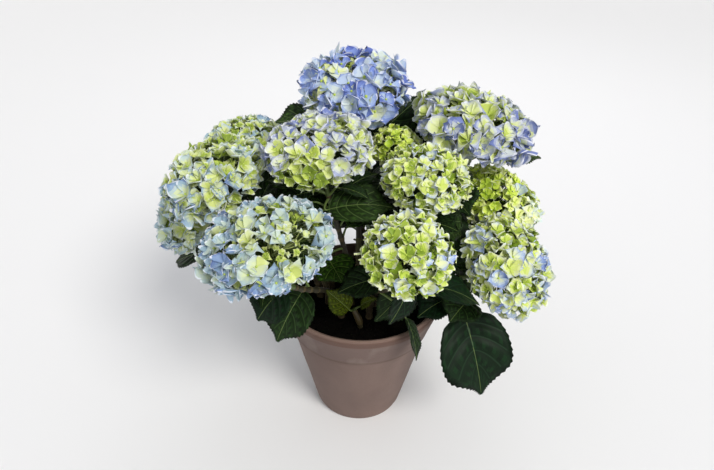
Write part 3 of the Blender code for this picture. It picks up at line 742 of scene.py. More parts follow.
# Leaf colours: upper side, side veins, midrib, underside.
GREENS = {
    "teal": ((13, 33, 15), (26, 48, 29), (54, 80, 50), (66, 88, 60)),
    "deep": ((28, 46, 20), (52, 75, 39), (72, 94, 54), (68, 88, 56)),
    "mid": ((42, 62, 26), (80, 102, 56), (92, 114, 64), (82, 104, 60)),
    "bright": ((54, 86, 24), (104, 134, 60), (118, 146, 70), (96, 122, 68)),
    "yellow": ((72, 86, 12), (104, 114, 30), (118, 124, 38), (98, 108, 40)),
}
LEAF_ROUGHNESS = 0.52
LEAF_GLOSS = 0.13
STEM_COLOURS = {
    "brown": (48, 44, 26),
    "green": (78, 94, 46),
    "node": (82, 70, 42),
    "stalk": (104, 124, 62),
}
STEM_ROUGHNESS = 0.5
STALK_COLOURS = {"inner": (84, 104, 44), "bare": (186, 198, 122)}
STALK_ROUGHNESS = 0.55


def plain_material(name, colour, roughness, **sockets):
    """One plain linear colour; further sockets are set by name, with _ for a space."""
    material = bpy.data.materials.new(name)
    material.use_nodes = True
    shader = material.node_tree.nodes["Principled BSDF"]
    shader.inputs["Base Color"].default_value = (*colour, 1)
    shader.inputs["Roughness"].default_value = roughness
    for socket, value in sockets.items():
        shader.inputs[socket.replace("_", " ")].default_value = value
    return material


def plain_materials(prefix, colours, roughness):
    """A plain material for each named colour."""
    return [
        plain_material(f"{prefix}_{name}", linear(colour), roughness)
        for name, colour in colours.items()
    ]


def ramp_materials(name):
    """A ramp's colours in even steps from young to ripe, and then the same for pale rims.

    The pale rims are the sepals' paler edge, with a painted highlight along it.
    """
    stops = np.array([linear(colour) for colour in RAMPS[name]])
    pale = np.array(linear(RIM_HIGHLIGHT_COLOUR))
    sheen = {"Sheen_Weight": PETAL_SHEEN}
    found = []
    for kind, shares in (("sepal", (0.0, 0.0)), ("rim", RIM_HIGHLIGHT_SHARES)):
        for i, place in enumerate(np.linspace(0, len(stops) - 1, RAMP_STEPS)):
            share = np.interp(place, (0, len(stops) - 1), shares)
            low = min(int(place), len(stops) - 2)
            mixed = stops[low] + (stops[low + 1] - stops[low]) * (place - low)
            mixed = mixed + (pale - mixed) * share
            title = f"{kind}_{name}_{i:02d}"
            found.append(plain_material(title, mixed, PETAL_ROUGHNESS, **sheen))
    return found


# ---- Clay, soil and bark ----


class Grain(NamedTuple):
    """A noise over a surface: scale, detail, stretch along each axis, and distortion."""

    scale: float
    detail: float
    stretch: tuple = None
    distortion: float = 0.0


class Coat(NamedTuple):
    """A colour that comes up to a share of the whole where a grain goes from low to high.

    Where there is no grain, it follows the height instead.
    """

    colour: tuple
    low: float
    high: float
    most: float
    grain: Grain = None


class Relief(NamedTuple):
    """A bump by a grain, its strength and its depth in metres."""

    grain: Grain
    strength: float
    depth: float


LEDGE = POT_HEIGHT - BAND_HEIGHT
# The clay's two ground tones on the band, and below it, and the patches that they lie in.
BAND_TONES = ((105, 88, 82), (116, 97, 90))
BODY_TONES = ((110, 92, 85), (124, 104, 96))
CLAY_PATCHES = (Grain(7.0, 5.0, distortion=0.6), 0.35, 0.65)
BELOW_BAND = (None, LEDGE - 0.1 * BAND_STEP, LEDGE - BAND_STEP)
CHALK = Coat((152, 138, 130), 0.52, 0.72, 0.55, Grain(19.0, 7.0, (1.0, 1.0, 0.6)))
DAMP = Coat((98, 80, 72), 0.55, 0.70, 0.45, Grain(4.0, 3.0))
RED_LIP = Coat((96, 71, 61), POT_HEIGHT - 1.2 * LIP_HEIGHT, POT_HEIGHT - LIP_HEIGHT, 0.8)
WORN_TOP = Coat((160, 134, 122), POT_HEIGHT - 0.3 * LIP_HEIGHT, POT_HEIGHT, 0.7)
# Painted shadow: the band's lower bevel darkens towards its foot, as the shade under the band's
# overhang.
BAND_FOOT_SHADOW = Coat((92, 75, 66), LEDGE + BAND_BEVEL, LEDGE + 0.3 * BAND_BEVEL, 0.60)
SPECKS = Coat((96, 78, 70), 0.62, 0.70, 0.35, Grain(420.0, 2.0))
WHEEL_LINES = Relief(Grain(30.0, 2.0, (0.15, 0.15, 14.0)), 0.30, 0.0006)
PORES = Relief(Grain(650.0, 3.0), 0.35, 0.0004)
CLAY_ROUGHNESS = 0.88
CLAY_WEAR = (Grain(12.0, 3.0), 0.3, 0.7, 0.80, 0.95)

PEAT = (4, 3, 2)
CRUMBLE = Coat((16, 12, 8), 0.35, 0.75, 1.0, Grain(160.0, 6.0))
FIBRES = Coat((44, 34, 22), 0.68, 0.74, 0.6, Grain(90.0, 2.0, (1.0, 5.0, 1.0)))
PEAT_GRAIN = Relief(Grain(420.0, 5.0), 0.8, 0.0012)
SOIL_ROUGHNESS = 0.95
SOIL_GLOSS = 0.1

# Each bark's darker tone, and the lighter one that streaks it.
BARKS = {"bark": ((54, 44, 27), (92, 78, 48)), "dry_bark": ((30, 24, 17), (60, 49, 34))}
STREAKS = Coat(None, 0.35, 0.68, 1.0, Grain(260.0, 5.0, (1.0, 1.0, 0.12)))
FLECKS = Coat((126, 110, 80), 0.66, 0.70, 0.7, Grain(900.0, 1.0))
GREEN_ABOVE = Coat((92, 100, 48), SOIL_TOP + 0.02, SOIL_TOP + 0.09, 0.45)
BARK_LINES = Relief(Grain(500.0, 4.0, (1.0, 1.0, 0.15)), 0.7, 0.0006)
BARK_ROUGHNESS = 0.7
# A colour mix node's inputs for its two colours, and its output.
MIX_COLOURS = (6, 7)
MIX_RESULT = 2


class Nodes:
    """Shader nodes of one material, added and wired by short calls."""

    def __init__(self, name, roughness):
        self.material = bpy.data.materials.new(name)
        self.material.use_nodes = True
        self.tree = self.material.node_tree
        self.shader = self.tree.nodes["Principled BSDF"]
        self.fill(self.shader, Roughness=roughness)
        self.place = self.tree.nodes.new("ShaderNodeTexCoord").outputs["Object"]

    def fill(self, node, **inputs):
        """Gives a node's inputs their values by name, with _ for a space."""
        for name, value in inputs.items():
            self.give(node.inputs[name.replace("_", " ")], value)

    def give(self, socket, value):
        """Wires an output to a socket, or sets the socket to a plain value."""
        if isinstance(value, bpy.types.NodeSocket):
            self.tree.links.new(value, socket)
        else:
            socket.default_value = value

    def node(self, kind, output, **inputs):
        """A new node's output, with its inputs filled."""
        node = self.tree.nodes.new(f"ShaderNode{kind}")
        self.fill(node, **inputs)
        return node.outputs[output]

    def value(self, grain):
        """A grain's value, or the height where there is none."""
        if grain is None:
            return self.node("SeparateXYZ", "Z", Vector=self.place)
        place = self.place
        if grain.stretch:
            place = self.node("Mapping", "Vector", Vector=place, Scale=grain.stretch)
        sizes = {"Scale": grain.scale, "Detail": grain.detail, "Distortion": grain.distortion}
        return self.node("TexNoise", "Fac", Vector=place, **sizes)

    def spread(self, grain, low, high, to_low=0.0, to_high=1.0):
        """A grain between two limits, spread over a new range."""
        limits = {"From_Min": low, "From_Max": high, "To_Min": to_low, "To_Max": to_high}
        return self.node("MapRange", "Result", Value=self.value(grain), **limits)

    def mixed(self, part, *colours):
        """Two colours mixed by a part; each is a colour of 0 to 255 or an output."""
        node = self.tree.nodes.new("ShaderNodeMix")
        node.data_type = "RGBA"
        self.fill(node, Factor=part)
        for i, colour in zip(MIX_COLOURS, colours):
            plain = isinstance(colour, tuple)
            self.give(node.inputs[i], (*linear(colour), 1) if plain else colour)
        return node.outputs[MIX_RESULT]

    def coated(self, ground, *coats):
        """A ground with coats laid over it in turn."""
        for coat in coats:
            part = self.spread(coat.grain, coat.low, coat.high, 0.0, coat.most)
            ground = self.mixed(part, ground, coat.colour)
        return ground

    def finish(self, ground, *reliefs):
        """The material, with this ground and with its bumps one on another."""
        below = {}
        for relief in reliefs:
            height = self.value(relief.grain)
            sizes = {"Strength": relief.strength, "Distance": relief.depth}
            below = {"Normal": self.node("Bump", "Normal", Height=height, **sizes, **below)}
        self.fill(self.shader, Base_Color=ground, **below)
        return self.material


def clay_material():
    """Weathered clay: warm and grey patches, chalk, damp, a redder lip worn at its top.

    A painted shadow darkens the band's lower bevel towards its foot.
    """
    clay = Nodes("clay", CLAY_ROUGHNESS)
    patches = clay.spread(*CLAY_PATCHES)
    band = clay.mixed(patches, *BAND_TONES)
    # The last coat on the band is a painted shadow along its foot.
    band = clay.coated(band, CHALK, DAMP, RED_LIP, WORN_TOP, BAND_FOOT_SHADOW)
    body = clay.mixed(patches, *BODY_TONES)
    ground = clay.mixed(clay.spread(*BELOW_BAND), band, body)
    clay.fill(clay.shader, Roughness=clay.spread(*CLAY_WEAR))
    return clay.finish(clay.coated(ground, SPECKS), WHEEL_LINES, PORES)


def soil_material():
    """Near-black peat with a few paler fibres."""
    soil = Nodes("soil", SOIL_ROUGHNESS)
    soil.fill(soil.shader, Specular_IOR_Level=SOIL_GLOSS)
    return soil.finish(soil.coated(PEAT, CRUMBLE, FIBRES), PEAT_GRAIN)


def bark_material(name):
    """Brown-green bark, streaked along the cane, with pale flecks."""
    bark = Nodes(name, BARK_ROUGHNESS)
    dark, light = BARKS[name]
    ground = bark.coated(dark, STREAKS._replace(colour=light), FLECKS, GREEN_ABOVE)
    return bark.finish(ground, BARK_LINES)


# ---- Meshes from arrays of points ----
POLE_REACH = 1e-6
BEAD_LATITUDES = np.radians([-82, -30, 30, 82])
BEAD_COLUMNS = 6


def unit(vectors):
    return vectors / np.linalg.norm(vectors, axis=-1, keepdims=True)


def square_axes(directions):
    """Two unit vectors square to each direction and to each other."""
    steep = np.abs(directions[..., 1:2]) > STEEP
    helper = np.where(steep, np.array([1.0, 0.0, 0.0]), np.array([0.0, 1.0, 0.0]))
    first = unit(np.cross(directions, helper))
    return first, np.cross(directions, first)


def circle(steps):
    """Even angles once round."""
    return 2 * np.pi * np.arange(steps) / steps


def smooth(value):
    """Eases a value from 0 to 1 at both ends, and holds it between them."""
    held = np.clip(value, 0, 1)
    return held * held * (3 - 2 * held)


class Gathered:
    """Many small shapes, each a grid of points, joined into one mesh piece."""

    def __init__(self):
        self.verts = []
        self.quads = []
        self.slots = []
        self.count = 0

    def add(self, grids, slots, wrap=False):
        """Adds grids shaped (shapes, rows, columns, 3); wrap closes each row into a ring.

        slots gives each quad's material, and spreads over the quads as arrays do.
        """
        shapes, rows, columns, _ = grids.shape
        index = np.arange(shapes * rows * columns).reshape(shapes, rows, columns)
        index = index + self.count
        if wrap:
            index = np.concatenate([index, index[:, :, :1]], axis=2)
        low, high = index[:, :-1], index[:, 1:]
        corners = [low[:, :, :-1], low[:, :, 1:], high[:, :, 1:], high[:, :, :-1]]
        quads = np.stack(corners, axis=-1)
        self.verts.append(grids.reshape(-1, 3))
        self.quads.append(quads.reshape(-1, 4))
        self.slots.append(np.broadcast_to(slots, quads.shape[:-1]).reshape(-1))
        self.count += shapes * rows * columns

    def mesh_object(self, name, materials):
        """The joined mesh as an object."""
        verts = np.concatenate(self.verts).astype(np.float32)
        quads = np.concatenate(self.quads).astype(np.int32)
        slots = np.concatenate(self.slots).astype(np.int32)
        mesh = bpy.data.meshes.new(name)
        mesh.vertices.add(len(verts))
        mesh.vertices.foreach_set("co", verts.ravel())
        mesh.loops.add(quads.size)
        mesh.loops.foreach_set("vertex_index", quads.ravel())
        mesh.polygons.add(len(quads))
        mesh.polygons.foreach_set("loop_start", np.arange(0, quads.size, 4, dtype=np.int32))
        for material in materials:
            mesh.materials.append(material)
        mesh.polygons.foreach_set("material_index", slots)
        mesh.polygons.foreach_set("use_smooth", np.ones(len(quads), bool))
        mesh.update(calc_edges=True)
        mesh.validate()
        return link(bpy.data.objects.new(name, mesh))

    def piece(self, name, materials, slot, *nodes):
        """The joined mesh, riding on the part and standing for these solids."""
        obj = self.mesh_object(name, materials)
        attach(obj, "root")
        if nodes:
            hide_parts(*nodes)
        return obj


def ring_grid(points, slopes, radii, sides):
    """Rings round a path, without twist: shaped (1, points, sides, 3)."""
    first = square_axes(slopes[:1])[0][0]
    turns = circle(sides)
    rings = []
    for point, slope, radius in zip(points, slopes, radii):
        first = unit(first - slope * np.dot(first, slope))
        second = np.cross(slope, first)
        spokes = np.outer(np.cos(turns), first) + np.outer(np.sin(turns), second)
        rings.append(point + spokes * np.reshape(radius, (-1, 1)))
    return np.array(rings)[None]


def lathe_grid(profile, steps):
    """A profile of radius and height turned about the Z axis: (1, points, steps, 3)."""
    radii, heights = np.array(profile).T
    turns = circle(steps)
    across = np.outer(radii, np.cos(turns)), np.outer(radii, np.sin(turns))
    return np.stack([*across, np.outer(heights, np.ones(steps))], axis=-1)[None]


def close_poles(obj):
    """Merges the points that a turned profile stacks on the axis."""
    form = bmesh.new()
    form.from_mesh(obj.data)
    bmesh.ops.remove_doubles(form, verts=form.verts, dist=POLE_REACH)
    bmesh.ops.recalc_face_normals(form, faces=form.faces)
    form.to_mesh(obj.data)
    form.free()


def bead_grids(places, sizes, rng, uneven=0.0):
    """Small closed-looking beads."""
    profile = list(zip(np.cos(BEAD_LATITUDES), np.sin(BEAD_LATITUDES)))
    ball = lathe_grid(profile, BEAD_COLUMNS)[0]
    bumpy = 1 + uneven * rng.uniform(-1, 1, (len(places), *ball.shape[:2], 1))
    return places[:, None, None] + ball * bumpy * sizes[:, None, None, None]


# ---- Pot and soil ----
POT_STEPS = 144
POT_ROW = 0.004
POT_SUPPORT = 0.0007
SUPPORT_SHARE = 0.2
POT_UNEVEN = 0.00035
# The pot's waves: their share, how often they turn round it, their rise and their start.
POT_WAVES = (
    (1.0, 2, 0, 1.0),
    (0.6, 3, 25, 0.0),
    (0.5, 0, 900, 0.0),
    (0.4, 2, 1700, 0.0),
)
EVEN_ENDS = 0.0005
SOIL_STEPS = 150
SOIL_ROWS = 46
SKIRT_STEPS = 48
SOIL_RELIEF = 0.0011
SOIL_SINK = 1.2
# The soil's lumps: how many waves, their scale and their share.
SOIL_WAVES = ((12, 90, 1.0), (16, 320, 0.7), (16, 900, 0.5))
WAVE_SCATTER = (0.5, 2.0)
CRUMB_COUNT = 700
CRUMB_RADIUS = 0.0017
CRUMB_SIZES = (0.4, 1.4)
CRUMB_UNEVEN = 0.35
CRUMB_SPREAD = (0.02, 0.98)
CRUMB_MARGIN = 0.004


def refined(profile):
    """The same profile with short steps along each edge, and a support beside each corner."""
    found = [profile[0]]
    for (r0, z0), (r1, z1) in zip(profile, profile[1:]):
        length = math.hypot(r1 - r0, z1 - z0)
        support = min(POT_SUPPORT / length, SUPPORT_SHARE)
        steps = max(1, round(length / POT_ROW))
        parts = [1.0]
        if length > 2 * POT_SUPPORT:
            parts = [*np.linspace(support, 1 - support, steps + 1), 1.0]
        found += [(r0 + (r1 - r0) * part, z0 + (z1 - z0) * part) for part in parts]
    return found


def make_pot():
    """The turned pot, with the slight unevenness of a hand-finished one."""
    grid = lathe_grid(refined(pot_profile()), POT_STEPS)
    turns = circle(POT_STEPS)
    height = grid[..., 2]
    sway = sum(
        share * np.sin(around * turns + up * height + start)
        for share, around, up, start in POT_WAVES
    )
    inner = (height > EVEN_ENDS) & (height < POT_HEIGHT - EVEN_ENDS)
    grid[..., :2] *= (1 + POT_UNEVEN * sway * inner / RIM_RADIUS)[..., None]
    gathered = Gathered()
    gathered.add(grid, 0, wrap=True)
    close_poles(gathered.piece("pot_body", [clay_material()], "pot_clay", "pot"))


def lumps(x, y, rng, count, scale):
    """A sum of random waves over a plane, between about -1 and 1."""
    total = np.zeros_like(x)
    for _ in range(count):
        turn = rng.uniform(0, 2 * np.pi)
        wave = scale * rng.uniform(*WAVE_SCATTER)
        phase = rng.uniform(0, 2 * np.pi)
        total += np.sin(wave * (x * np.cos(turn) + y * np.sin(turn)) + phase)
    return total / math.sqrt(count)


def make_soil():
    """A crumbled surface over the soil's plug, with loose crumbs on it."""
    rng = np.random.default_rng(SEED)
    edge = pot_inner_radius(SOIL_TOP) - 2 * GAP
    radii = edge * np.sqrt(np.linspace(0, 1, SOIL_ROWS))
    grid = lathe_grid([(radius, SOIL_TOP) for radius in radii], SOIL_STEPS)
    x, y = grid[..., 0], grid[..., 1]
    rise = sum(share * lumps(x, y, rng, count, scale) for count, scale, share in SOIL_WAVES)
    grid[..., 2] += SOIL_RELIEF * (rise - SOIL_SINK)
    gathered = Gathered()
    gathered.add(grid[:, ::-1], 0, wrap=True)
    floor = FLOOR_THICKNESS + GAP
    skirt = [(edge, SOIL_TOP - 4 * SOIL_RELIEF)]
    for height in (pot_profile()[2][1], floor):
        skirt.append((pot_inner_radius(height) - 2 * GAP, height))
    gathered.add(lathe_grid([*skirt, (0.0, floor)], SKIRT_STEPS), 0, wrap=True)
    near = np.sqrt(rng.uniform(*CRUMB_SPREAD, CRUMB_COUNT)) * (edge - CRUMB_MARGIN)
    turns = rng.uniform(0, 2 * np.pi, CRUMB_COUNT)
    low = np.full(CRUMB_COUNT, SOIL_TOP - SOIL_RELIEF)
    places = np.stack([near * np.cos(turns), near * np.sin(turns), low], axis=-1)
    sizes = CRUMB_RADIUS * rng.uniform(*CRUMB_SIZES, CRUMB_COUNT)
    gathered.add(bead_grids(places, sizes, rng, CRUMB_UNEVEN), 0, wrap=True)
    close_poles(gathered.piece("soil_surface", [soil_material()], "potting_soil", "soil"))


# ---- Flower heads ----
# Ways that a patch may face, for somebody who looks a little down on the plant's front.
LEFT, RIGHT = np.array([-0.80, -0.50, 0.33]), np.array([0.80, -0.50, 0.33])
HIGH, LOW = np.array([0.0, -0.13, 0.99]), np.array([0.0, -0.96, -0.26])
NEAR = np.array([0.0, -0.83, 0.55])


class Patch(NamedTuple):
    """A stretch of a head with its own tones: where it faces, how wide, inner and outer."""

    towards: np.ndarray
    reach: float
    inner: float
    outer: float


class HeadLook(NamedTuple):
    """A head's ramp, floret size, and tones from 0, young lime, to 1, ripe blue.

    A hollow is a direction and a reach within which the florets are still small buds.
    """

    ramp: str
    size: float
    inner: float
    outer: float
    patches: tuple = ()
    hollows: tuple = ()


HEAD_LOOKS = {
    "top": HeadLook("blue", 0.98, 0.70, 0.98, (
        Patch(LEFT, 0.90, 0.54, 0.84),
        Patch(HIGH + RIGHT, 0.85, 0.58, 0.84),
        Patch(RIGHT + LOW, 0.80, 0.66, 0.96),
    )),
    "upper_right": HeadLook("lilac", 0.94, 0.26, 0.80, (
        Patch(RIGHT + LOW, 0.80, 0.34, 0.94),
        Patch(LEFT + LOW, 0.75, 0.30, 0.86),
        Patch(HIGH, 0.80, 0.22, 0.78),
    )),
    "centre_left": HeadLook("lilac", 0.72, 0.28, 0.80, (
        Patch(LOW, 0.84, 0.04, 0.16),
        Patch(HIGH, 0.75, 0.34, 0.88),
        Patch(RIGHT, 0.85, 0.38, 0.80),
    )),
    "back_left": HeadLook("aqua", 0.74, 0.14, 0.54, (Patch(LEFT + LOW, 0.70, 0.26, 0.68),)),
    "left": HeadLook("aqua", 0.80, 0.14, 0.52, (
        Patch(LEFT + LOW, 0.75, 0.30, 0.76),
        Patch(RIGHT, 0.80, 0.20, 0.64),
    )),
    "left_low": HeadLook("aqua", 0.80, 0.42, 0.70, (Patch(RIGHT + HIGH, 0.70, 0.30, 0.54),)),
    "lower_left": HeadLook("aqua", 0.76, 0.54, 0.72, (
        Patch(LOW, 0.62, 0.56, 0.76),
        Patch(RIGHT, 0.85, 0.46, 0.66),
        Patch(HIGH, 0.90, 0.38, 0.58),
    ), (
        ((0.62, -0.40, 0.68), 0.90),
        ((0.12, -0.70, 0.70), 0.985),
        ((0.18, -0.88, 0.44), 0.975),
    )),
    # small_green takes the lime ramp, brightened as painted light against its neighbours'
    # shade.
    "small_green": HeadLook("lime", 0.52, 0.20, 0.36),
    "right_centre": HeadLook("blue", 0.62, 0.12, 0.34, (
        Patch(LOW + NEAR, 0.92, 0.24, 0.62),
        Patch(HIGH, 0.80, 0.16, 0.50),
    )),
    # right_upper takes the lime ramp, brightened as painted light against the shade of the head
    # above.
    "right_upper": HeadLook("lime", 0.74, 0.22, 0.38, (Patch(RIGHT, 0.86, 0.34, 0.60),)),
    "right_lower": HeadLook("blue", 0.76, 0.14, 0.46, (
        Patch(RIGHT, 0.80, 0.22, 0.66),
        Patch(LOW, 0.80, 0.26, 0.64),
        Patch(LEFT, 0.88, 0.24, 0.62),
    )),
    "front": HeadLook("blue", 0.68, 0.14, 0.40, (
        Patch(RIGHT + HIGH, 0.80, 0.22, 0.62),
        Patch(HIGH, 0.75, 0.18, 0.54),
    )),
    "back_centre": HeadLook("aqua", 0.84, 0.32, 0.58),
    "back_right": HeadLook("blue", 0.80, 0.24, 0.54),
    "back_low_left": HeadLook("lilac", 0.84, 0.38, 0.66),
}
USUAL_SLOT = "floret_lime"
SLOT_OF_HEAD = {
    "top": "floret_blue",
    "upper_right": "floret_pale",
    "centre_left": "floret_pale",
    "lower_left": "floret_pale",
    "left_low": "floret_pale",
}

# How florets spread over a head, and how far each strays from its own place and facing.
FLORET_SPACING = 0.0212
FLORET_COVER = -0.66
FLORET_WOBBLE = 0.36
WOBBLE_RANKS = 4
WOBBLE_TURN = 0.5
FLORET_RISE = 0.90
FLORET_SINK = 0.05
FACING_SCATTER = 0.36
FACING_LIFT = 0.12
PATCH_EDGE = 0.30
# The closer, greener layer under the florets.
UNDER_SCALE = 0.78
UNDER_TONE = 0.5
# Sepals' rows from root to tip, and columns from edge to edge, narrow at the rim.
SEPAL_GRID = (7, (1, 0.85, 0.48, 0, -0.48, -0.85, -1))
SMALL_SEPAL_GRID = (6, (1, 0.82, 0, -0.82, -1))
UNDER_GRID = (4, (1, 0.33, -0.33, -1))
SMALL_FLORET = 0.7
ROW_CROWDING = 0.85
# A sepal's length and outline, and the changes of its size.
SEPAL_LENGTH = 0.0152
SEPAL_WIDTH = 0.60
SEPAL_SWELL = 0.80
SEPAL_PEAK = 0.291
SEPAL_ROOT = 0.04
SIZE_BY_TONE = (0.84, 1.24)
SIZE_SCATTER = (0.82, 1.20)
# How sepals vary: the lowest and highest for their floret, and each one's own scatter.
SEPAL_WAYS = {
    "length": (0.96, 1.04, 0.09),
    "cup": (0.08, 0.72, 0.12),
    "curl": (0.08, 0.62, 0.15),
    "hollow": (0.30, 0.80, 0.10),
    "twist": (0.05, 0.30, 0.08),
    "bend": (-0.05, 0.05, 0.10),
    "phase": (0, 2 * np.pi, 2.0),
    "flutter": (0.06, 0.16, 0.03),
    "breadth": (0.92, 1.08, 0.06),
}
SEPAL_TURN_SCATTER = 0.14
RIM_SETBACK = 0.20
CUP_POWER = 1.4
CURL_POWER = 4
FLUTTER_ALONG = 4.2
FLUTTER_ACROSS = 2.6
# How a sepal's tone goes from inner to outer, and strays, for its floret and by itself.
TONE_ALONG = 0.55
TONE_START = (0.05, 0.50)
TONE_BLEND = 0.55
TONE_SCATTER = (0.12, 0.06)
TONE_LIMITS = (0.20, 0.10)
# Where the pale rim lies: the sepal's paler edge, with a painted highlight.
RIM_HIGHLIGHT_ACROSS = 0.9
RIM_HIGHLIGHT_ALONG = 0.3
# Stalks from the head's root to each floret, and the bead in its middle.
HEAD_ROOT = 0.62
STALK_SPREAD = 0.9
ROOT_SCATTER = 0.0016
PEDICEL_RADIUS = 0.00065
PEDICEL_STEPS = 5
PEDICEL_SIDES = 3
PEDICEL_HANDLES = (0.45, 0.30)
BEAD_RADIUS = 0.0016
BEAD_RISE = 0.0012
# The buds in a head's hollows.
BUD_SCALE = 0.46
BUD_TONES = (0.20, 0.38)
BUD_DEPTH = (0.05, 0.35)


def head_axes(head):
    """A head's own axes as the rows of an array: two across, and its lean."""
    axis = Vector(head.lean).normalized()
    return np.array([*side_axes(axis), axis])


def spread_over(head, scale, spacing, rng):
    """Even places on a head's ellipsoid, as (directions from its middle, places, normals)."""
    covered = 1 - FLORET_COVER
    share = covered / (1 - HEAD_COVER)
    count = round(cap_area(head) * share * scale**2 / spacing**2)
    level = 1 - covered * (np.arange(count) + 0.5) / count
    wobble = FLORET_WOBBLE * covered / count
    level = np.clip(level + rng.uniform(-WOBBLE_RANKS, WOBBLE_RANKS, count) * wobble, -1, 1)
    stray = rng.uniform(-WOBBLE_TURN, WOBBLE_TURN, count) * FLORET_WOBBLE
    heading = np.arange(count) * GOLDEN_ANGLE + stray
    flat = np.sqrt(1 - level**2)
    local = np.stack([flat * np.cos(heading), flat * np.sin(heading), level], axis=-1)
    axes = head_axes(head)
    half = np.array([head.radius, head.radius, head.half_height])
    places = np.array(head.centre) + (local * half * scale) @ axes
    return local @ axes, places, unit((local / half) @ axes)


def in_hollow(look, directions):
    """Which directions from a head's middle point into one of its hollows."""
    found = np.zeros(len(directions), bool)
    for towards, reach in look.hollows:
        found |= directions @ unit(towards) > reach
    return found


def tones_of(look, directions):
    """Each floret's inner and outer tone, from the head's patches."""
    inner = np.full(len(directions), look.inner)
    outer = np.full(len(directions), look.outer)
    for patch in look.patches:
        facing = directions @ unit(patch.towards)
        part = smooth((facing - patch.reach + PATCH_EDGE) / PATCH_EDGE)
        inner += (patch.inner - inner) * part
        outer += (patch.outer - outer) * part
    return inner, outer


def sepal_outline(along):
    """A sepal's half width at parts of its length: narrow root, broad middle, a point."""
    shape = along**SEPAL_SWELL * np.clip(1 - along, 0, 1)
    return np.maximum(shape / SEPAL_PEAK, SEPAL_ROOT) * SEPAL_WIDTH


def sepal_grids(places, facings, sizes, rng, grid):
    """Four cupped sepals round each place, shaped (florets * 4, rows, columns, 3)."""
    rows, columns = grid
    florets = len(places)
    count = (florets, SEPALS)
    u = (np.linspace(0.0, 1.0, rows) ** ROW_CROWDING)[:, None]
    v = np.array(columns, float)[None, :]
    first, second = square_axes(facings)
    turn = rng.uniform(0, 2 * np.pi, (florets, 1))
    turn = turn + np.arange(SEPALS) * np.pi / 2 + rng.normal(0, SEPAL_TURN_SCATTER, count)
    arm = np.cos(turn)[..., None] * first[:, None] + np.sin(turn)[..., None] * second[:, None]
    side = np.cross(facings[:, None], arm)

    def each(low, high, scatter):
        """A value for each sepal: one for its floret, and its own scatter round it."""
        values = rng.uniform(low, high, (florets, 1)) + rng.normal(0, 1, count) * scatter
        return values[..., None, None]

    ways = [each(*row) for row in SEPAL_WAYS.values()]
    length, cup, curl, hollow, twist, bend, phase, flutter, breadth = ways
    length = sizes[:, None, None, None] * length
    width = sepal_outline(u) * breadth
    reach = u - RIM_SETBACK * u * v**2
    rise = cup * u**CUP_POWER - curl * u**CURL_POWER + hollow * v**2 * width
    rise = rise + twist * v * width
    rise = rise + flutter * u * v**2 * np.sin(FLUTTER_ALONG * u + FLUTTER_ACROSS * v + phase)
    shift = width * v + bend * u**2
    point = places[:, None, None, None]
    for direction, amount in ((arm, reach), (side, shift), (facings[:, None], rise)):
        point = point + direction[:, :, None, None] * (length * amount)[..., None]
    return point.reshape(-1, rows, len(columns), 3)


def sepal_slots(inner, outer, rng, grid):
    """Each quad's step on the ramp, from inner tone to outer tone, with a pale rim.

    The rim is the sepal's paler edge, with a painted highlight along it.
    """
    rows = grid[0] - 1
    count = (len(inner), SEPALS)
    along = ((np.arange(rows) + 0.5) / rows)[:, None]
    across = np.abs(np.convolve(grid[1], (0.5, 0.5), "valid"))[None, :]
    out = np.maximum(along, TONE_ALONG * along + (1 - TONE_ALONG) * across)
    start = rng.uniform(*TONE_START, count)[..., None, None]
    part = smooth((out - start) / TONE_BLEND)
    shift = 0
    for scatter, limit, shape in zip(TONE_SCATTER, TONE_LIMITS, ((len(inner), 1), count)):
        shift = shift + rng.normal(0, scatter, shape).clip(-limit, limit)
    tone = inner[:, None, None, None] + (outer - inner)[:, None, None, None] * part
    tone = tone + shift[..., None, None]
    steps = np.clip(np.round(tone * (RAMP_STEPS - 1)), 0, RAMP_STEPS - 1).astype(int)
    # The outermost quads take the pale rim, which is partly a painted highlight.
    steps = steps + RAMP_STEPS * ((across > RIM_HIGHLIGHT_ACROSS) & (along > RIM_HIGHLIGHT_ALONG))
    return steps.reshape(-1, rows, across.size)


def pedicel_grids(roots, starts, ends, facings):
    """A thin three-sided stalk up to each floret, leaving along starts."""
    t = np.linspace(0, 1, PEDICEL_STEPS + 1)[:, None]
    span = np.linalg.norm(ends - roots, axis=-1, keepdims=True)
    lower = roots + starts * span * PEDICEL_HANDLES[0]
    upper = ends - facings * span * PEDICEL_HANDLES[1]
    path = bezier(*(corner[:, None] for corner in (roots, lower, upper, ends)), t)
    first, second = (axes[:, :, None] for axes in square_axes(unit(np.gradient(path, axis=1))))
    turns = circle(PEDICEL_SIDES)[:, None]
    spokes = np.cos(turns) * first + np.sin(turns) * second
    return path[:, :, None] + spokes * PEDICEL_RADIUS


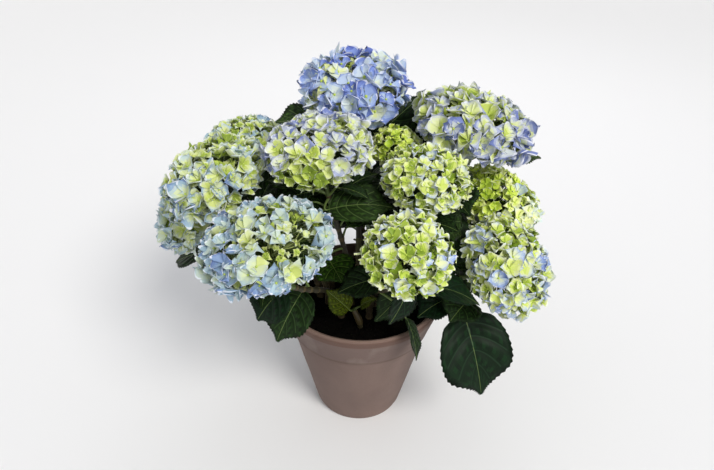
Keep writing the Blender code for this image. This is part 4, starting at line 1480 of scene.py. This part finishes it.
def make_head(name, head, ramps, stalks):
    """A head's sepals, with a closer, greener layer under them, and its stalks."""
    look = HEAD_LOOKS[name]
    rng = np.random.default_rng([SEED, list(HEADS).index(name)])
    spacing = FLORET_SPACING * look.size
    grid = SMALL_SEPAL_GRID if look.size < SMALL_FLORET else SEPAL_GRID
    gathered = Gathered()
    centre = np.array(head.centre)
    axis = head_axes(head)[2]
    root = centre - HEAD_ROOT * head.half_height * axis
    layers = ((FLORET_RISE, grid, 1.0), (UNDER_SCALE, UNDER_GRID, UNDER_TONE))
    for scale, mesh_grid, share in layers:
        directions, places, normals = spread_over(head, scale, spacing, rng)
        depth = rng.uniform(-FLORET_SINK, FLORET_SINK, (len(places), 1))
        places = places + (places - centre) * depth
        scatter = rng.normal(0, FACING_SCATTER, normals.shape)
        facings = unit(normals + scatter + [0, 0, FACING_LIFT])
        inner, outer = (share * tone for tone in tones_of(look, directions))
        grown = SIZE_BY_TONE[0] + (SIZE_BY_TONE[1] - SIZE_BY_TONE[0]) * smooth(outer)
        size = SEPAL_LENGTH * look.size
        sizes = size * grown * rng.uniform(*SIZE_SCATTER, len(places))
        bud = in_hollow(look, directions)
        sizes = np.where(bud, BUD_SCALE * sizes, sizes)
        inner, outer = np.where(bud, BUD_TONES[0], inner), np.where(bud, BUD_TONES[1], outer)
        sunk = rng.uniform(*BUD_DEPTH, (len(places), 1)) * bud[:, None]
        places = places - (places - centre) * sunk
        sepals = sepal_grids(places, facings, sizes, rng, mesh_grid)
        gathered.add(sepals, sepal_slots(inner, outer, rng, mesh_grid))
        starts = unit(axis + STALK_SPREAD * unit(places - root))
        roots = root + rng.normal(0, ROOT_SCATTER, places.shape)
        bare = bud.astype(int)[:, None, None]
        stalks.add(pedicel_grids(roots, starts, places, facings), bare, wrap=True)
        radii = BEAD_RADIUS * sizes / SEPAL_LENGTH
        beads = bead_grids(places + facings * BEAD_RISE, radii, rng)
        gathered.add(beads, round(BEAD_TONE * (RAMP_STEPS - 1)), wrap=True)
    slot = SLOT_OF_HEAD.get(name, USUAL_SLOT)
    gathered.piece(f"florets_{name}", ramps[look.ramp], slot, f"bloom_{name}")


# ---- Leaves ----
# Side veins leave the midrib at these parts of its length.
VEINS = (0.04, 0.15, 0.29, 0.45, 0.61, 0.76, 0.89)
# Rows from one vein to the next: their place in its cell, and how far their tooth stands out.
VEIN_HALF = 0.045
VEIN_ROWS = (
    (-VEIN_HALF, 0.4), (VEIN_HALF, 1.0), (0.22, 0.0), (0.39, 0.8), (0.55, -0.1), (0.72, 0.9),
    (0.86, 0.0),
)
# The last rows, which have no vein and no tooth.
TIP_ROWS = (0.992, 1.0)
LAST_VEIN_ROW = 0.985
# A blade's columns, as shares of its half width: one half's, from the midrib outwards, those
# of the upper side from margin to margin, and those of the underside back again.
RIB_COLUMN = 0.01
HALF_COLUMNS = (RIB_COLUMN, 0.08, 0.17, 0.26, 0.35, 0.44, 0.53, 0.62, 0.71, 0.80, 0.89, 1.0)
UPPER_COLUMNS = (*(-part for part in HALF_COLUMNS[::-1]), *HALF_COLUMNS)
UNDER_COLUMNS = (0.7, 0.35, 0.05, -0.05, -0.35, -0.7)
# Veins sweep from the midrib to the margin, and end a little short of it.
VEIN_REACH = 0.92
VEIN_SWEEP = 0.31
VEIN_CROWDING = 0.72
VEIN_BEND = 1.7
MIDRIB_HALF = 0.00075
MIDRIB_THINNING = 0.75
# The leaf's outline: how it opens at its root and closes at its tip, and its drawn-out end.
OUTLINE_OPENING = 0.50
OUTLINE_CLOSING = 0.55
OUTLINE_PEAK = 0.4837
DRAWN_OUT = 0.82
DRAWN_FROM = 0.66
TOOTH = 0.0019
TOOTH_LEAN = 0.012
# The blade puffs up between its veins, and small ribs run across each puff.
QUILTING = 0.026
QUILT_FULLNESS = 0.8
WRINKLE = 0.0062
WRINKLES = 3.6
WRINKLE_SWAY = (0.3, 23)
SWAY_STARTS = (0, 6)
LEAF_THICKNESS = 0.0005
# The margin's wave: its height, how often it runs, and how far the two halves differ.
MARGIN_WAVE = 0.014
MARGIN_WAVES = 1.6
HALVES_SHIFT = 2.0
TIP_DROOP = 0.12
DROOP_FROM = 0.62
DROOP_RANGE = (0.2, 1.0)
# Tones of the blade as shares of its colour, and how they follow the quilting and the ribs:
# painted shade where the blade sinks, and painted light where it rises.
BLADE_SHADE_SHARES = (0.70, 0.90, 1.10, 1.36)
RELIEF_SHADE_WEIGHTS = (0.7, 1.3)
TONE_MIDDLE = 0.46
SHADE_BY_RELIEF = 0.34
LEAF_TONE_SCATTER = 0.08
QUAD_TONE_SCATTER = 0.03
# The first four kinds are the blade's shaded and lit copies, for painted shade and light.
LEAF_KINDS = ("darkest", "dark", "light", "lightest", "vein", "rib", "under")
USUAL_GREENS = ("deep", "mid", "deep", "teal")
SHOOT_GREENS = {
    "sprout": ("yellow",),
    "lower_left": ("teal", "deep"),
    "right_lower": ("teal", "deep"),
    "front": ("deep", "teal"),
    "centre_left": ("bright", "mid", "deep"),
    "top": ("mid", "deep"),
}
LEAF_SEED = 7
PETIOLE_SIDES = 6
PETIOLE_ROWS = 12
PETIOLE_FOOT = 1.35
# The rib under a blade: how far it runs, and how it thins and sinks in.
RIB_ROWS = 14
RIB_THICKNESS = 0.0011
RIB_RUN = 0.96
RIB_THINNING = 0.85
RIB_SINK = 0.6


def leaf_materials():
    """Plain greens for each leaf colour, in the order of LEAF_KINDS.

    The blade's four greens are shaded and lit copies of its colour, for painted shade and
    light.
    """
    found = []
    gloss = {"Specular_IOR_Level": LEAF_GLOSS}
    for name, (blade, *others) in GREENS.items():
        tones = [tuple(share * part for part in blade) for share in BLADE_SHADE_SHARES]
        for kind, colour in zip(LEAF_KINDS, (*tones, *others)):
            title = f"leaf_{name}_{kind}"
            found.append(plain_material(title, linear(colour), LEAF_ROUGHNESS, **gloss))
    return found


def blade_places(leaf, parts):
    """The midrib's points, the side direction and the upward directions, as arrays."""
    base, tip, face = np.array(leaf.base), np.array(leaf.tip), np.array(leaf.face)
    length = np.linalg.norm(tip - base)
    along = (tip - base) / length
    up = unit(face - along * (face @ along))
    side = np.cross(up, along)
    parts = parts[..., None]
    rise = 4 * leaf.arch * length * parts * (1 - parts)
    points = base + along * length * parts + up * rise
    ups = unit(up - along * 4 * leaf.arch * (1 - 2 * parts))
    return points, side, ups


def outline(part):
    """A leaf's half width, from 0 to 1: rounded at its root and drawn out at its tip."""
    full = part**OUTLINE_OPENING * np.clip(1 - part, 0, 1) ** OUTLINE_CLOSING / OUTLINE_PEAK
    return full * (1 - DRAWN_OUT * smooth((part - DRAWN_FROM) / (1 - DRAWN_FROM)))


def leaf_rows():
    """The rows of a blade: place on the midrib, phase in the vein's cell and tooth."""
    rows = [(0.0, 0.5, 0.0)]
    for vein, after in zip(VEINS, (*VEINS[1:], 1.0)):
        for shift, tooth in VEIN_ROWS:
            place = vein + (after - vein) * shift
            if place < LAST_VEIN_ROW:
                rows.append((place, shift, tooth))
    rows += [(place, 0.5, 0.0) for place in TIP_ROWS]
    return np.array(rows)


LEAF_ROWS = leaf_rows()


def leaf_mesh(leaf, green, rng):
    """A blade as rings of its upper and under side, with each quad's colour."""
    length = (leaf.tip - leaf.base).length
    across = np.array(UPPER_COLUMNS + UNDER_COLUMNS, float)[None, :]
    side_of = np.sign(across)
    out = np.abs(across)
    under = np.arange(across.size)[None, :] >= len(UPPER_COLUMNS)
    place, phase, tooth = (column[:, None] for column in LEAF_ROWS.T)
    margin = place + VEIN_SWEEP * np.sin(np.pi * place**VEIN_CROWDING)
    rim = out == 1
    part = place + (margin - place) * out**VEIN_BEND
    part = np.clip(part + TOOTH_LEAN * tooth * rim, 0, 1)
    width = outline(margin)
    lateral = 0.5 * leaf.width * width * across + TOOTH * tooth * rim * side_of
    midrib = side_of * MIDRIB_HALF * (1 - MIDRIB_THINNING * place)
    lateral = np.where(out == RIB_COLUMN, midrib, lateral)
    puff = length * np.sin(np.pi * np.clip(out, 0, 1) ** QUILT_FULLNESS) * width
    cell = 0.5 - 0.5 * np.cos(2 * np.pi * phase)
    sway = WRINKLE_SWAY[0] * np.sin(WRINKLE_SWAY[1] * place + rng.uniform(*SWAY_STARTS))
    ribs = np.sin(2 * np.pi * (WRINKLES * out + sway))
    wrinkle = cell * np.where(under, -1, ribs)
    start = 2 * np.pi * rng.uniform(0, 1)
    waves = np.sin(2 * np.pi * MARGIN_WAVES * margin + start + HALVES_SHIFT * (across > 0))
    droop = rng.uniform(*DROOP_RANGE) * TIP_DROOP * length
    lift = (QUILTING * cell + WRINKLE * wrinkle) * puff
    lift = lift + LEAF_TROUGH * np.abs(lateral) + MARGIN_WAVE * length * waves * out**2 * width
    lift = lift - droop * np.clip(part - DROOP_FROM, 0, 1) ** 2 - LEAF_THICKNESS * under
    points, side, ups = blade_places(leaf, part)
    grid = points + side * lateral[..., None] + ups * lift[..., None]
    # Painted shade and light: the blade's tone follows how far it sinks or rises.
    relief = RELIEF_SHADE_WEIGHTS[0] * cell + RELIEF_SHADE_WEIGHTS[1] * wrinkle
    return grid[None], leaf_slots(green, relief, rng)[None]


def leaf_slots(green, relief, rng):
    """Each quad's colour: tones of the blade by its relief, veins, midrib and underside.

    The blade's tones are painted shade where it sinks and painted light where it rises, with a
    random scatter for each leaf and each quad.
    """
    first = len(LEAF_KINDS) * list(GREENS).index(green)
    tones = len(BLADE_SHADE_SHARES)
    tone = TONE_MIDDLE + SHADE_BY_RELIEF * (relief[:-1] - 0.5)
    tone = tone + rng.normal(0, LEAF_TONE_SCATTER)
    tone = tone + rng.normal(0, QUAD_TONE_SCATTER, tone.shape)
    slots = np.clip(np.round(tone * tones - 0.5), 0, tones - 1).astype(int)
    middles = np.abs(np.convolve(UPPER_COLUMNS, (0.5, 0.5), "valid"))
    vein_row = np.isclose(LEAF_ROWS[:-1, 1], -VEIN_HALF)
    upper = slots[:, : len(middles)]
    upper[vein_row[:, None] & (middles < VEIN_REACH)[None, :]] = LEAF_KINDS.index("vein")
    upper[:, middles < 0.5 * RIB_COLUMN] = LEAF_KINDS.index("rib")
    slots[:, len(middles):] = LEAF_KINDS.index("under")
    return first + slots


def stalk_grids(leaf, radius):
    """A leaf's stalk, and the rib that it runs on as under the blade."""
    corners = (np.array(corner) for corner in stalk_corners(leaf))
    path = bezier(*corners, np.linspace(0, 1, PETIOLE_ROWS)[:, None])
    parts = np.linspace(0, RIB_RUN, RIB_ROWS)
    ribs, _, ups = blade_places(leaf, parts)
    ribs = ribs - ups * (RIB_SINK * RIB_THICKNESS * (1 - parts[:, None]))
    points = np.concatenate([path[:-1], ribs])
    slopes = unit(np.gradient(points, axis=0))
    petiole = np.linspace(PETIOLE_FLARE, 1 - PETIOLE_THINNING, PETIOLE_ROWS - 1) * radius
    petiole[0] *= PETIOLE_FOOT
    rib = RIB_THICKNESS * (1 - RIB_THINNING * parts)
    return ring_grid(points, slopes, np.concatenate([petiole, rib]), PETIOLE_SIDES)


def make_leaves(name, leaves, materials):
    """All the blades on one shoot, standing for its solid."""
    order = list(HEADS).index(name) if name in HEADS else len(HEADS)
    rng = np.random.default_rng([SEED, LEAF_SEED, order])
    greens = SHOOT_GREENS.get(name, USUAL_GREENS)
    gathered = Gathered()
    for i, leaf in enumerate(leaves):
        gathered.add(*leaf_mesh(leaf, greens[i % len(greens)], rng), wrap=True)
    gathered.piece(f"leaves_{name}", materials, "leaf", f"shoot_{name}")


# ---- Stems and canes ----
STEM_SIDES = 8
STEM_ROW = 0.0025
FEWEST_STEM_ROWS = 8
NODE_SWELL = 0.32
NODE_WIDTH = 0.0035
NODE_COLOUR_FROM = 0.55
GREEN_STEM_FROM = 0.62
CANE_SEED = 3
CANE_ROW = 0.0011
CANE_RINGS = 22
# Furrows: how many run round a cane in each wave, how they drift, and their roughness.
FURROWS = 0.055
FURROW_WAVES = (5, 8, 13)
FURROW_DRIFT = (6, 30)
FURROW_ROUGHNESS = 0.35
SCAR_SPACING = 0.031
SCAR_START = (0.2, 1)
SCAR_SWELL = 0.22
SCAR_WIDTH = 0.0022
FOOT_FLARE_RISE = 0.0011
FOOT_FLARE_WIDTH = 0.006
# Dry stubs left by pruning, in pairs off the bare canes: places as shares up to the fork.
STUB_PLACES = (0.58, 0.93)
STUB_LENGTH = (0.004, 0.010)
STUB_CLIMB = (0.1, 0.9)
STUB_RADIUS = 0.0017
STUB_SIZES = (0.7, 1.2)
STUB_SIDES = 7
# A stub's rings: their place along it, and their radius.
STUB_STOPS = (0.1, 0.55, 0.8, 0.97, 1.0)
STUB_SHAPE = (1.2, 0.85, 1.0, 0.9, 0.2)


def cane_path(cane, stops):
    """A cane's points, directions and radii at these distances, as arrays."""
    points, slopes = (np.array(part) for part in zip(*(cane.at(stop) for stop in stops)))
    return points, slopes, np.array([cane.radius(stop) for stop in stops])


def swellings(stops, middles, width):
    """A rounded swelling at each of the middles, added up at every stop."""
    return np.exp(-(((stops[:, None] - middles) / width) ** 2)).sum(axis=1)


def make_stems(plan):
    """The green stretch of every cane up into its head, with its leaf stalks."""
    gathered = Gathered()
    kinds = list(STEM_COLOURS)
    for name, cane in plan.canes.items():
        start = cane.fork
        rows = max(FEWEST_STEM_ROWS, round((cane.length - start) / STEM_ROW))
        stops = np.linspace(start, cane.length, rows)
        nodes = start + np.array(PAIR_STATIONS) * (cane.neck - start)
        swell = swellings(stops, nodes, NODE_WIDTH)
        points, slopes, radii = cane_path(cane, stops)
        radii = radii * (1 + NODE_SWELL * swell)
        green = (stops[1:] - start) / (cane.length - start) > GREEN_STEM_FROM
        slots = np.where(green, kinds.index("green"), kinds.index("brown"))
        slots = np.where(swell[1:] > NODE_COLOUR_FROM, kinds.index("node"), slots)
        rings = ring_grid(points, slopes, radii, STEM_SIDES)
        gathered.add(rings, slots[None, :, None], wrap=True)
        for leaf in plan.leaves[name]:
            gathered.add(stalk_grids(leaf, PETIOLE_RADIUS), kinds.index("stalk"), wrap=True)
    gathered.piece("green_stems", plain_materials("stem", STEM_COLOURS, STEM_ROUGHNESS), "leaf")


def stub_grid(cane, stop, heading, rng):
    """A short dry stub out of a cane, blunt at its end."""
    place, slope = (np.array(part) for part in cane.at(stop))
    first, second = square_axes(slope)
    outward = np.cos(heading) * first + np.sin(heading) * second
    direction = unit(outward + rng.uniform(*STUB_CLIMB) * slope)
    reach = cane.radius(stop) + rng.uniform(*STUB_LENGTH)
    radii = STUB_RADIUS * np.array(STUB_SHAPE) * rng.uniform(*STUB_SIZES)
    points = place + reach * np.array(STUB_STOPS)[:, None] * direction
    return ring_grid(points, np.tile(direction, (len(points), 1)), radii, STUB_SIDES)


def make_canes(plan):
    """The bare canes, with furrowed bark, leaf scars, a flared foot and dry stubs."""
    rng = np.random.default_rng([SEED, CANE_SEED])
    gathered = Gathered()
    turns = circle(CANE_RINGS)
    for name in HEADS:
        cane = plan.canes[name]
        stops = np.linspace(0, cane.fork, round(cane.fork / CANE_ROW))
        points, slopes, radii = cane_path(cane, stops)
        lines = np.zeros((len(stops), CANE_RINGS))
        for wave in FURROW_WAVES:
            drift = rng.uniform(0, 2 * np.pi) + rng.uniform(*FURROW_DRIFT) * stops[:, None]
            lines += np.sin(wave * turns + drift)
        rough = rng.normal(0, FURROW_ROUGHNESS, lines.shape)
        scars = np.arange(rng.uniform(*SCAR_START) * SCAR_SPACING, cane.fork, SCAR_SPACING)
        swell = SCAR_SWELL * swellings(stops, scars, SCAR_WIDTH)[:, None]
        flare = FOOT_FLARE_RISE * np.exp(-stops[:, None] / FOOT_FLARE_WIDTH)
        radii = radii[:, None] * (1 + FURROWS * (lines / 2 + rough) + swell) + flare
        gathered.add(ring_grid(points, slopes, radii, CANE_RINGS), 0, wrap=True)
        for share in STUB_PLACES:
            heading = rng.uniform(0, 2 * np.pi)
            for half in range(2):
                stub = stub_grid(cane, share * cane.fork, heading + np.pi * half, rng)
                gathered.add(stub, 1, wrap=True)
    barks = [bark_material(name) for name in BARKS]
    gathered.piece("barked_canes", barks, "cane_bark", *(f"cane_{name}" for name in HEADS))


def main():
    make_camera()
    make_lamps()
    make_surroundings()
    plan = Plan()
    make_pot()
    make_soil()
    make_canes(plan)
    make_stems(plan)
    greens = leaf_materials()
    for name, leaves in plan.leaves.items():
        make_leaves(name, leaves, greens)
    ramps = {name: ramp_materials(name) for name in RAMPS}
    stalks = Gathered()
    for name, head in HEADS.items():
        make_head(name, head, ramps, stalks)
    materials = plain_materials("stalk", STALK_COLOURS, STALK_ROUGHNESS)
    stalks.piece("floret_stalks", materials, "floret_lime")


main()
